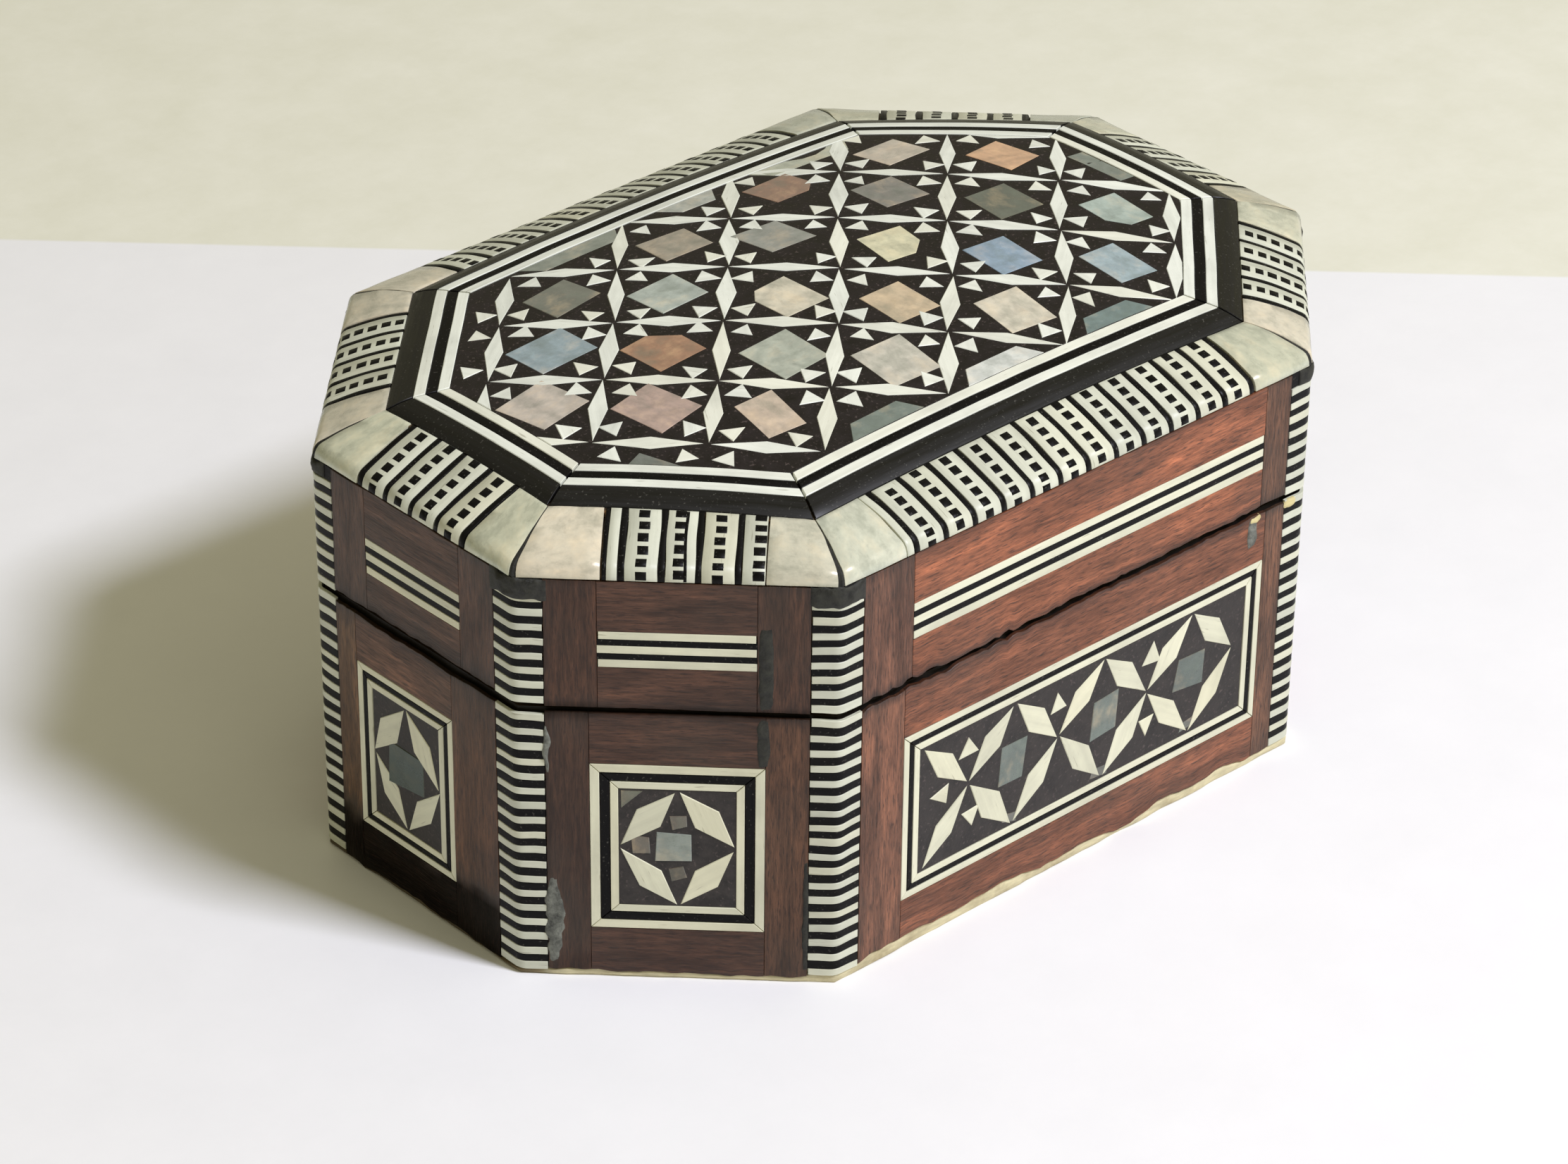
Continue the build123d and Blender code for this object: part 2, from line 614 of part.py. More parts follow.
def hinges():
    """Two brass butt hinges let into the back edges, with their pins and nails."""
    for name, up, edge in (("base", -1, BASE_TOP), ("lid", 1, LID_BOTTOM)):
        plate = leaf(up)
        save(f"hinge_{name}_leaves", [Pos(x, 0, 0) * plate for x in HINGE_PLACES])
        places = [(x + side * NAIL_X, WIDTH / 2 - NAIL_DEPTH) for x in HINGE_PLACES for side in (-1, 1)]
        save(f"hinge_{name}_nails", [Pos(x, y, edge) * nail(up) for x, y in places])
    pin = Rot(0, 90, 0) * Cylinder(PIN_RADIUS, HINGE_WIDTH + 0.6)
    save("hinge_pins", [Pos(x, PIVOT_Y, PIVOT_Z) * pin for x in HINGE_PLACES])


os.makedirs("parts", exist_ok=True)
base_board()
wall_boards("base_wall", BASE_BOARD_TOP, BASE_TOP, -1)
wall_boards("lid_rim", LID_BOTTOM, TOP_BOARD_BOTTOM, 1)
linings()
striped_posts("base", BASE_VENEER_BOTTOM, BASE_TOP, BASE_STRIPES, BASE_TOP)
striped_posts("lid", LID_BOTTOM, LID_STRIPES_TOP, LID_STRIPES, RIM_TOP - GLUE)
veneers()
lid_lines()
side_panels()
top_board()
top_layer()
top_mosaic()
bevel()
hinges()
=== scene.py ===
"""Looks for the inlaid octagonal box: every facing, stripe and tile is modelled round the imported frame.

The helpers work in millimetres in the frame of the part; the mesh builder turns them into metres.
"""
import random
from copy import copy
from math import atan2, cos, hypot, pi, radians, sin, sqrt, tan

import bpy
from mathutils import Matrix, Vector, noise


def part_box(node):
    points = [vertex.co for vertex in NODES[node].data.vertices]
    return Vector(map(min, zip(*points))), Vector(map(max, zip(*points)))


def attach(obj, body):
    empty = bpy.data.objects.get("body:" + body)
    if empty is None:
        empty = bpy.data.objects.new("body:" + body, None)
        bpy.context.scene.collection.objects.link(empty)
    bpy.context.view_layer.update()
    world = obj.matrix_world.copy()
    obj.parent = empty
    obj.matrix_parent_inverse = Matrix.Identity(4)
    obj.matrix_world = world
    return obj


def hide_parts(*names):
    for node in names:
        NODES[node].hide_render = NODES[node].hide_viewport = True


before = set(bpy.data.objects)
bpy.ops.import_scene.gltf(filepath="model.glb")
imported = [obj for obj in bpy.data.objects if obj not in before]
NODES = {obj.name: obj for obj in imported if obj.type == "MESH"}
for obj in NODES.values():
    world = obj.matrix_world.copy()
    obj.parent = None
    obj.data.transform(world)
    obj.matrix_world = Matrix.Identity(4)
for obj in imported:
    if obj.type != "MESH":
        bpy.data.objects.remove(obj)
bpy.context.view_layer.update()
MM = 0.001
FRONT, BACK, LEFT, FRONT_LEFT = 0, 4, 6, 7  # sides, counted anticlockwise from the front

# ---- sizes, from the frame


def node_box(name):
    """Lowest and highest corner of a node, in millimetres."""
    low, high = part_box(name)
    return [c / MM for c in low], [c / MM for c in high]


BAND_TRIM = 0.5  # what the ebony band lacks of its CAD width
HALF_ANGLE = radians(22.5)
HALF_TURN = tan(HALF_ANGLE)
BASE_LOW = node_box("base_veneer_stiles")[0][2]
HALF_LENGTH, HALF_WIDTH, BASE_TOP = node_box("base_veneer_stiles")[1]
LID_BOTTOM, WALL_TOP = (node_box("lid_veneer_stiles")[k][2] for k in (0, 1))
RIM_TOP = node_box("lid_bevel_pearl")[0][2]
CROWN_TOP = node_box("lid_mosaic_ground")[1][2]
BEVEL_WIDTH = HALF_LENGTH - node_box("lid_border_band")[1][0] + BAND_TRIM
STRING_INSET = HALF_LENGTH - node_box("lid_stringing_bone")[1][0]
BONE_LINE, EBONY_LINE = 1.62, 1.56
FIELD_INSET = STRING_INSET + 2 * BONE_LINE + EBONY_LINE
LONG_HALF = node_box("base_wall_front")[1][0]
CORNER_LEG = HALF_LENGTH - LONG_HALF - (HALF_WIDTH + node_box("base_wall_front")[0][1]) * HALF_TURN
PANEL_LOW, PANEL_HIGH = (node_box("base_panel_border_bone")[k][2] for k in (0, 1))
LINES_LOW, LINES_HIGH = (node_box("lid_line_bone")[k][2] for k in (0, 1))
POST_TOP = node_box("lid_post_bone")[1][2]

CROWN_FALL_X = (60.0, 2.4)  # distance from the centre along X, and the fall there
CROWN_FALL_Y = (37.5, 2.6)
BAND_DROP = 0.8  # extra fall across the ebony band
POST_LEG = 4.0
PANEL_MARGIN = 9.8
LINE_MARGIN = 11.0
LATTICE_PITCH = (11.0, 11.25)
LATTICE_CENTRE = (2.6, 0.5)
LATTICE_TILT, LATTICE_FAN = 0.02, 0.013  # the rows rise to the right, the back ones more
EASE = 0.09  # eased edge of an inlaid piece
GRAIN_RUN = 90.0  # each piece is cut from its own place in this length of stock
DICE = random.Random(7)
GREY = (0.5, 0.5, 0.5)


def wobble(amount):
    """Hand-made inaccuracy, drawn in a fixed order."""
    return DICE.uniform(-amount, amount)


def drift(u, v, seed, amount):
    """Smooth unevenness along a surface."""
    return amount * noise.noise(Vector((u, v, 3.7 * seed + 0.4)))


def shade(red, green, blue):
    """Linear colour from display values of 0 to 255."""
    return tuple(((c / 255 + 0.055) / 1.055) ** 2.4 for c in (red, green, blue))


def stations(start, end, step):
    """Evenly spaced places from start to end, about a step apart."""
    count = max(1, round(abs(end - start) / step))
    return [start + (end - start) * k / count for k in range(count + 1)]


def octagon(inset):
    """Plan corners of the outline moved inwards, from the front's left end, anticlockwise."""
    x = HALF_LENGTH - inset
    y = HALF_WIDTH - inset
    leg = CORNER_LEG - (2 - sqrt(2)) * inset
    return [(leg - x, -y), (x - leg, -y), (x, leg - y), (x, y - leg),
            (x - leg, y), (leg - x, y), (-x, y - leg), (-x, leg - y)]


class Facet:
    """One of the eight sides: u runs along it from its middle, depth runs inwards."""

    def __init__(self, index):
        self.index = index
        corners = octagon(0)
        (x0, y0), (x1, y1) = corners[index], corners[(index + 1) % 8]
        self.length = hypot(x1 - x0, y1 - y0)
        self.along = ((x1 - x0) / self.length, (y1 - y0) / self.length)
        self.outward = (self.along[1], -self.along[0])
        self.middle = ((x0 + x1) / 2, (y0 + y1) / 2)
        self.is_long = index in (FRONT, BACK)

    def point(self, u, depth):
        return (self.middle[0] + u * self.along[0] - depth * self.outward[0],
                self.middle[1] + u * self.along[1] - depth * self.outward[1])

    def place(self, u, z, h):
        """A place on the wall, h millimetres in front of it."""
        x, y = self.point(u, -h)
        return (x, y, z)

    def shifted(self, by):
        """The same side, with u counted from a place beside its middle."""
        other = copy(self)
        other.middle = self.point(by, 0)
        return other


FACETS = [Facet(i) for i in range(8)]


def inset_at(x, y):
    """Distance of a plan place from the outline, inwards."""
    reach = ((x - f.middle[0]) * f.outward[0] + (y - f.middle[1]) * f.outward[1] for f in FACETS)
    return -max(reach)


def crown(x, y):
    """Height of the lid's top at a plan place."""
    z = CROWN_TOP
    for c, (reach, fall) in ((x, CROWN_FALL_X), (y, CROWN_FALL_Y)):
        z -= fall * (c / reach) ** 2
    over = max(0.0, STRING_INSET - inset_at(x, y)) / (STRING_INSET - BEVEL_WIDTH)
    return z - BAND_DROP * over ** 1.5


def on_top(x, y, h):
    return (x, y, crown(x, y) + h)


def rotated(x, y, turn):
    return (x * cos(turn) - y * sin(turn), x * sin(turn) + y * cos(turn))


def ring_faces(lower, upper, count):
    """Quads between two rings of points, given the first place of each."""
    pairs = [(i, (i + 1) % count) for i in range(count)]
    return [(lower + i, lower + j, upper + j, upper + i) for i, j in pairs]


# ---- mesh builder


class Builder:
    """Collects closed islands for one piece, with grain coordinates and a tint on every vertex.

    The piece stands for CAD nodes, rides on their body and is smoothed up to an angle.
    """

    def __init__(self, name, material, *nodes, smooth=35, body=None):
        self.name, self.material, self.nodes, self.smooth = name, material, nodes, smooth
        self.body = body or nodes[0].split("_")[0]
        self.points, self.faces, self.grain, self.tint, self.colour = [], [], [], [], []

    def island(self, points, faces, grain, tint, colour):
        start = len(self.points)
        self.points += points
        self.faces += [tuple(start + i for i in face) for face in faces]
        self.grain += grain
        self.tint += [tint] * len(points)
        self.colour += colour if isinstance(colour, list) else [colour] * len(points)

    def tile(self, outline, place, h=0.0, thick=0.6, ease=EASE, turn=0.0, colour=GREY):
        """Flat piece over a convex anticlockwise outline, with eased upper edges."""
        tint = DICE.random()
        n = len(outline)
        top = shrink(outline, ease)
        rings = [(outline, h - thick), (outline, h - ease), (top, h)]
        points = [place(x, y, z) for ring, z in rings for x, y in ring]
        faces = [tuple(reversed(range(n))), tuple(range(2 * n, 3 * n))]
        faces += ring_faces(0, n, n) + ring_faces(n, 2 * n, n)
        shift = (DICE.uniform(0, GRAIN_RUN), DICE.uniform(0, GRAIN_RUN))
        grain = []
        for ring, z in rings:
            for x, y in ring:
                a, b = rotated(x, y, -turn)
                grain.append((a + shift[0], b + shift[1], z))
        self.island(points, faces, grain, tint, colour)

    def sheet(self, us, vs, place, h=0.0, thick=0.6, ease=EASE, turned=False, colour=GREY):
        """Piece over a grid of places, eased all round; us and vs hold its stations in millimetres.

        The grain runs along u, or along v when turned.
        """
        tint = DICE.random()
        us = [us[0], us[0] + ease] + list(us[1:-1]) + [us[-1] - ease, us[-1]]
        vs = [vs[0], vs[0] + ease] + list(vs[1:-1]) + [vs[-1] - ease, vs[-1]]
        nu, nv = len(us), len(vs)
        points, grain, faces = [], [], []
        shift = (DICE.uniform(0, GRAIN_RUN), DICE.uniform(0, GRAIN_RUN))
        for level in (0, 1):
            for i, u in enumerate(us):
                for j, v in enumerate(vs):
                    rim = i in (0, nu - 1) or j in (0, nv - 1)
                    depth = h - (ease if rim else 0) if level else h - thick
                    points.append(place(u, v, depth))
                    a, b = (v, u) if turned else (u, v)
                    grain.append((a + shift[0], b + shift[1], depth))
        size = nu * nv
        for i in range(nu - 1):
            for j in range(nv - 1):
                a, b, c, d = i * nv + j, (i + 1) * nv + j, (i + 1) * nv + j + 1, i * nv + j + 1
                faces.append((size + a, size + b, size + c, size + d))
                faces.append((d, c, b, a))
        rim = [i * nv for i in range(nu)] + [(nu - 1) * nv + j for j in range(1, nv)]
        rim += [i * nv + nv - 1 for i in range(nu - 2, -1, -1)] + list(range(nv - 2, 0, -1))
        for a, b in zip(rim, rim[1:] + rim[:1]):
            faces.append((a, b, size + b, size + a))
        if callable(colour):
            colour = [colour(u, v) for level in (0, 1) for u in us for v in vs]
        self.island(points, faces, grain, tint, colour)

    def build(self):
        """Makes the Blender object, rides it on its body and lets it stand for CAD nodes."""
        mesh = bpy.data.meshes.new(self.name)
        mesh.from_pydata([[c * MM for c in p] for p in self.points], [], self.faces)
        mesh.attributes.new("grain", "FLOAT_VECTOR", "POINT").data.foreach_set(
            "vector", [c * MM for p in self.grain for c in p])
        mesh.attributes.new("tint", "FLOAT", "POINT").data.foreach_set("value", self.tint)
        mesh.attributes.new("colour", "FLOAT_COLOR", "POINT").data.foreach_set(
            "color", [c for rgb in self.colour for c in (*rgb, 1.0)])
        mesh.polygons.foreach_set("use_smooth", [True] * len(mesh.polygons))
        mesh.set_sharp_from_angle(angle=radians(self.smooth))
        mesh.materials.append(self.material)
        mesh.validate()
        piece = bpy.data.objects.new(self.name, mesh)
        bpy.context.scene.collection.objects.link(piece)
        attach(piece, self.body)
        if self.nodes:
            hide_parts(*self.nodes)


def shrink(outline, by):
    """Convex outline with every edge moved inwards."""
    n = len(outline)
    lines = []
    for i in range(n):
        (x0, y0), (x1, y1) = outline[i], outline[(i + 1) % n]
        span = hypot(x1 - x0, y1 - y0) or 1e-9
        nx, ny = -(y1 - y0) / span, (x1 - x0) / span
        lines.append((nx, ny, nx * x0 + ny * y0 + by))
    result = []
    for i in range(n):
        (a, b, c), (d, e, f) = lines[i - 1], lines[i]
        det = a * e - b * d
        if abs(det) < 1e-6:
            result.append((outline[i][0] + d * by, outline[i][1] + e * by))
            continue
        result.append(((c * e - b * f) / det, (a * f - c * d) / det))
    return result


def area(outline):
    pairs = zip(outline, outline[1:] + outline[:1])
    return sum(x0 * y1 - x1 * y0 for (x0, y0), (x1, y1) in pairs) / 2


def clip(outline, boundary):
    """The part of a convex outline inside a convex anticlockwise boundary."""
    kept = list(outline)
    for (ax, ay), (bx, by) in zip(boundary, boundary[1:] + boundary[:1]):
        side = [(bx - ax) * (y - ay) - (by - ay) * (x - ax) for x, y in kept]
        result = []
        for i, here in enumerate(kept):
            before, s0, s1 = kept[i - 1], side[i - 1], side[i]
            if (s0 < 0) != (s1 < 0):
                t = s0 / (s0 - s1)
                result.append((before[0] + t * (here[0] - before[0]), before[1] + t * (here[1] - before[1])))
            if s1 >= 0:
                result.append(here)
        kept = result
    return kept


def rhombus(start, end, width, gap):
    """Slim diamond between two points, kept clear of both, slightly uneven."""
    dx, dy = end[0] - start[0], end[1] - start[1]
    span = hypot(dx, dy)
    mx, my = (start[0] + end[0]) / 2 + wobble(0.12), (start[1] + end[1]) / 2 + wobble(0.12)
    ux, uy = rotated(dx / span, dy / span, wobble(0.025))
    half = span / 2 - gap + wobble(0.15)
    wide = width / 2 * (1 + wobble(0.1))
    slide = wobble(0.35)
    cx, cy = mx + ux * slide, my + uy * slide
    return [(mx - ux * half, my - uy * half), (cx + uy * wide, cy - ux * wide),
            (mx + ux * half, my + uy * half), (cx - uy * wide, cy + ux * wide)]


def arrow(node, direction, near, height, base):
    """Small triangle pointing away from a node, slightly uneven."""
    turn = atan2(direction[1], direction[0]) + wobble(0.14)
    dx, dy = cos(turn), sin(turn)
    bx, by = node[0] + dx * near + wobble(0.2), node[1] + dy * near + wobble(0.2)
    b = base / 2 * (1 + wobble(0.12))
    tip = height * (1 + wobble(0.12))
    side = wobble(0.25)
    point = (bx + dx * tip - dy * side, by + dy * tip + dx * side)
    return [(bx + dy * b, by - dx * b), point, (bx - dy * b, by + dx * b)]


def quad(centre, wide, tall, turn=0.0, skew=0.0, play=0.25):
    """Roughly square tile with hand-cut corners."""
    result = []
    for sx, sy in ((-1, -1), (1, -1), (1, 1), (-1, 1)):
        x, y = rotated(sx * wide / 2 + sy * skew + wobble(play), sy * tall / 2 + wobble(play), turn)
        result.append((centre[0] + x, centre[1] + y))
    return result


# ---- colours

BONE_TOP = shade(238, 241, 228)
BONE_SIDE = shade(226, 225, 198)
BONE_RIM = shade(214, 216, 196)
EBONY = shade(15, 14, 14)
JET = shade(16, 15, 15)
GROUND_TOP = shade(31, 26, 26)
GROUND_SIDE = shade(50, 46, 44)
FILLER = shade(46, 46, 40)
FILLER_DARK = shade(40, 40, 36)
SMEAR = shade(108, 110, 102)
CHIP = shade(222, 208, 152)
# darker colour of the pale board edge, used at the left end
PALE_WOOD = shade(222, 212, 172)
DARKER_FOOT = shade(96, 84, 62)
UNDER_LINING = shade(52, 10, 14)
# colour of grime, also laid on as painted shade at the seam and painted shadow at the foot
GRIME_AND_SHADE = shade(20, 14, 10)
VENEERS = {  # side: display colours of the left stile, the right stile and the rails
    FRONT: ((120, 80, 60), (114, 78, 57), (126, 77, 53)),
    # front left side: its own tone, darkened further as painted shade
    FRONT_LEFT: ((68, 46, 33), (100, 69, 50), (80, 54, 41)),
    LEFT: ((106, 77, 50), (94, 64, 43), (102, 72, 54)),
}
LID_VENEERS = {
    FRONT: ((106, 71, 54), (100, 68, 49), (150, 91, 62)),
    # front left side: its own tone, darkened further as painted shade
    FRONT_LEFT: ((68, 45, 32), (80, 54, 40), (82, 56, 43)),
    LEFT: ((86, 61, 45), (84, 58, 42), (82, 58, 44)),
}
OTHER_VENEERS = ((102, 70, 53), (102, 70, 53), (114, 72, 51))


def blended(base, other, share):
    return tuple(p + (q - p) * share for p, q in zip(base, other))


def dyed(base, play=0.06):
    """A colour a little lighter or darker than its neighbours'."""
    share = 1 + wobble(play)
    return tuple(c * share for c in base)


# ---- materials


class Tree:
    """The shader nodes of a material or of the world."""

    def __init__(self, owner, shader):
        owner.use_nodes = True
        self.tree = owner.node_tree
        self.shader = self.tree.nodes[shader]

    def feed(self, node, inputs):
        for key, value in inputs.items():
            socket = node.inputs[key.replace("_", " ") if isinstance(key, str) else key]
            if isinstance(value, bpy.types.NodeSocket):
                self.tree.links.new(value, socket)
            else:
                socket.default_value = value

    def add(self, kind, inputs, output=0, **settings):
        node = self.tree.nodes.new("ShaderNode" + kind)
        for key, value in settings.items():
            setattr(node, key, value)
        self.feed(node, inputs)
        return node.outputs[output]

    def remap(self, value, low, high, new_low=0.0, new_high=1.0):
        """Value between low and high, stretched to the new limits and held there."""
        return self.add("MapRange", {0: value, 1: low, 2: high, 3: new_low, 4: new_high})

    def spread(self, noise, new_low=0.0, new_high=1.0):
        """Noise, which lies mostly between 0.3 and 0.7, stretched to new limits."""
        return self.remap(noise, 0.3, 0.7, new_low, new_high)


class Look(Tree):
    """A procedural material, put together node by node."""

    def __init__(self, name, **shader):
        self.material = bpy.data.materials.new(name)
        super().__init__(self.material, "Principled BSDF")
        self.feed(self.shader, shader)

    def attribute(self, name, output="Color"):
        return self.add("Attribute", {}, output, attribute_name=name)

    def place(self, stretch=(1, 1, 1), own=True):
        """Coordinates that follow each piece's own grain, or the whole object's."""
        where = self.attribute("grain", "Vector") if own else self.add("TexCoord", {}, "Object")
        return self.add("Mapping", {"Vector": where, "Scale": stretch})

    def noise(self, where, scale, detail=3.0, rough=0.55, distortion=0.0):
        values = {"Vector": where, "Scale": scale, "Detail": detail}
        return self.add("TexNoise", {**values, "Roughness": rough, "Distortion": distortion})

    def cloud(self, scale, detail=3.0, rough=0.55):
        """Noise that runs on over the whole object."""
        return self.noise(self.place(own=False), scale, detail, rough)

    def math(self, operation, a, b=0.0):
        return self.add("Math", {0: a, 1: b}, operation=operation)

    def mix(self, share, a, b, mode="MIX"):
        a, b = ((*c, 1.0) if isinstance(c, tuple) and len(c) == 3 else c for c in (a, b))
        return self.add("Mix", {0: share, 6: a, 7: b}, 2, data_type="RGBA", blend_type=mode)

    def scaled(self, colour, factor):
        """Colour made darker or lighter by a factor."""
        return self.add("VectorMath", {0: colour, "Scale": factor}, operation="SCALE")

    def finish(self, colour, roughness, height=None, depth=0.0):
        self.feed(self.shader, {"Base_Color": colour, "Roughness": roughness})
        if height is not None:
            normal = self.add("Bump", {"Height": height, "Distance": depth, "Strength": 1.0})
            self.feed(self.shader, {"Normal": normal})
        return self.material


def dirt(look, colour, amount, scale=90.0):
    """Handling marks: uneven patches of grime over a colour."""
    patches = look.cloud(scale, 5.0, 0.62)
    return look.mix(look.remap(patches, 0.45, 0.75, 0.0, amount), colour, (0.05, 0.045, 0.035))


def bone_look():
    look = Look("bone_inlay", Specular_IOR_Level=0.4, Coat_Weight=0.1, Coat_Roughness=0.3)
    streak = look.noise(look.place((70, 900, 300)), 1.0, 4.0)
    colour = look.scaled(look.attribute("colour"), look.spread(streak, 0.9, 1.06))
    yellowed = look.remap(look.attribute("tint", "Fac"), 0.5, 1.0, 0.0, 0.22)
    warm = look.mix(yellowed, colour, shade(232, 222, 178))
    pores = look.noise(look.place((260, 2600, 900)), 1.0, 2.0)
    pitted = look.mix(look.remap(pores, 0.66, 0.74, 0.0, 0.45), warm, shade(120, 112, 84))
    height = look.math("ADD", streak, look.math("MULTIPLY", pores, 0.4))
    return look.finish(dirt(look, pitted, 0.2), look.spread(streak, 0.38, 0.55), height, 0.00003)


def ebony_look(name, gloss):
    look = Look(name, Specular_IOR_Level=0.32 * gloss, Coat_Weight=0.08 * gloss, Coat_Roughness=0.3)
    streak = look.noise(look.place((90, 1400, 500)), 1.0, 4.0)
    colour = look.scaled(look.attribute("colour"), look.spread(streak, 0.55, 1.5))
    dust = look.cloud(2600.0, 2.0)
    dusty = look.mix(look.remap(dust, 0.64, 0.74, 0.0, 0.35), colour, shade(120, 118, 110))
    return look.finish(dusty, look.spread(streak, 0.32, 0.55), streak, 0.00003)


def ground_look():
    look = Look("mosaic_ground", Specular_IOR_Level=0.25, Coat_Weight=0.05, Coat_Roughness=0.3)
    cloud = look.cloud(420.0, 5.0, 0.65)
    colour = look.scaled(look.attribute("colour"), look.spread(cloud, 0.5, 1.6))
    specks = look.cloud(1900.0, 3.0)
    dusty = look.mix(look.remap(specks, 0.6, 0.72, 0.0, 0.4), colour, shade(118, 104, 100))
    height = look.math("ADD", cloud, look.math("MULTIPLY", specks, 0.5))
    return look.finish(dusty, look.spread(cloud, 0.35, 0.6), height, 0.00006)


def pearl_look(name, banded, mottled):
    """Shell; banded and mottled are the strengths of its growth bands and of its patches."""
    look = Look(name, Specular_IOR_Level=0.5, Coat_Weight=0.35, Coat_Roughness=0.18)
    look.feed(look.shader, {"Thin_Film_Thickness": 420.0, "Thin_Film_IOR": 1.45})
    bend = look.noise(look.place(), 160.0, 4.0)
    where = look.add("VectorMath", {0: look.place((1, 1.6, 1)), 1: look.scaled(bend, 0.012)}, operation="ADD")
    bands = look.add("TexWave", {"Vector": where, "Scale": 70.0, "Distortion": 4.0, "Detail": 3.0}, 1)
    cloud = look.noise(look.place((1, 1.4, 1)), 210.0, 5.0, 0.62)
    grain = look.noise(look.place(), 900.0, 3.0)
    base = look.attribute("colour")
    pale = look.remap(look.add("SeparateColor", {0: base}), 0.03, 0.1, 0.15, 1.0)
    share = look.math("MULTIPLY", look.remap(cloud, 0.5, 0.68, 0.0, 0.5 * mottled), pale)
    rosy = look.mix(share, base, look.mix(0.5, base, shade(222, 190, 140)))
    share = look.math("MULTIPLY", look.remap(cloud, 0.32, 0.5, 0.6 * mottled, 0.0), pale)
    green = look.mix(share, rosy, look.mix(0.5, base, shade(126, 138, 118)))
    patches = look.noise(look.place((1, 1.3, 1)), 330.0, 4.0, 0.7, 0.6)
    green = look.mix(look.remap(patches, 0.56, 0.66, 0.0, 0.4 * mottled), green, look.scaled(base, 0.62))
    banding = look.remap(bands, 0.0, 1.0, 1 - 0.1 * banded, 1 + 0.06 * banded)
    tone = look.math("MULTIPLY", banding, look.spread(cloud, 0.86, 1.2))
    tone = look.math("MULTIPLY", tone, look.spread(grain, 0.92, 1.06))
    # painted sheen: the shell's colour is lightened towards grazing views
    view = look.add("LayerWeight", {"Blend": 0.35}, "Facing")
    painted_glint = look.math("MULTIPLY", look.math("MULTIPLY", view, 0.2), pale)
    painted_sheen = look.mix(painted_glint, look.scaled(green, tone), shade(214, 220, 212))
    rough = look.spread(cloud, 0.2, 0.4)
    return look.finish(painted_sheen, rough, look.math("ADD", bands, cloud), 0.00003)


def wood_look():
    look = Look("wood_veneer", Coat_Roughness=0.28)
    broad = look.noise(look.place((42, 300, 200)), 1.0, 5.0, 0.6, 0.9)
    fine = look.noise(look.place((260, 2300, 900)), 1.0, 4.0, 0.65, 0.3)
    pores = look.noise(look.place((420, 3800, 1500)), 1.0, 3.0, 0.6)
    slow = look.noise(look.place((22, 70, 60)), 1.0, 3.0)
    base = look.attribute("colour")
    figure = look.remap(broad, 0.32, 0.68, 0.62, 1.3)
    tone = look.math("MULTIPLY", figure, look.spread(fine, 0.5, 1.5))
    tone = look.math("MULTIPLY", tone, look.remap(slow, 0.35, 0.65, 0.8, 1.16))
    warm = look.mix(1.0, base, (1.65, 1.4, 1.1), "MULTIPLY")
    orange = look.mix(look.remap(broad, 0.48, 0.72, 0.0, 0.35), base, warm)
    flecks = look.remap(pores, 0.54, 0.64, 0.0, 0.72)
    flecked = look.mix(flecks, look.scaled(orange, tone), shade(42, 28, 22))
    height = look.math("SUBTRACT", fine, look.math("MULTIPLY", pores, 0.9))
    rough = look.spread(broad, 0.55, 0.38)
    red = look.add("SeparateColor", {0: base})
    look.feed(look.shader, {"Specular_IOR_Level": look.remap(red, 0.008, 0.05, 0.03, 0.3)})
    look.feed(look.shader, {"Coat_Weight": look.remap(red, 0.008, 0.05, 0.0, 0.1)})
    return look.finish(dirt(look, flecked, 0.4, 55.0), rough, height, 0.00008)


def filler_look():
    look = Look("dark_filler", Specular_IOR_Level=0.35)
    lumps = look.cloud(700.0, 5.0, 0.7)
    colour = look.scaled(look.attribute("colour"), look.remap(lumps, 0.32, 0.68, 0.25, 1.6))
    return look.finish(colour, look.spread(lumps, 0.45, 0.75), lumps, 0.00025)


def foot_look():
    look = Look("pale_board_edge", Specular_IOR_Level=0.35)
    fibre = look.noise(look.place((50, 1500, 400)), 1.0, 4.0)
    stain = look.cloud(130.0, 5.0, 0.65)
    colour = look.scaled(look.attribute("colour"), look.spread(fibre, 0.78, 1.08))
    stained = look.mix(look.remap(stain, 0.5, 0.72, 0.0, 0.6), colour, shade(132, 112, 70))
    return look.finish(stained, 0.6, fibre, 0.00008)


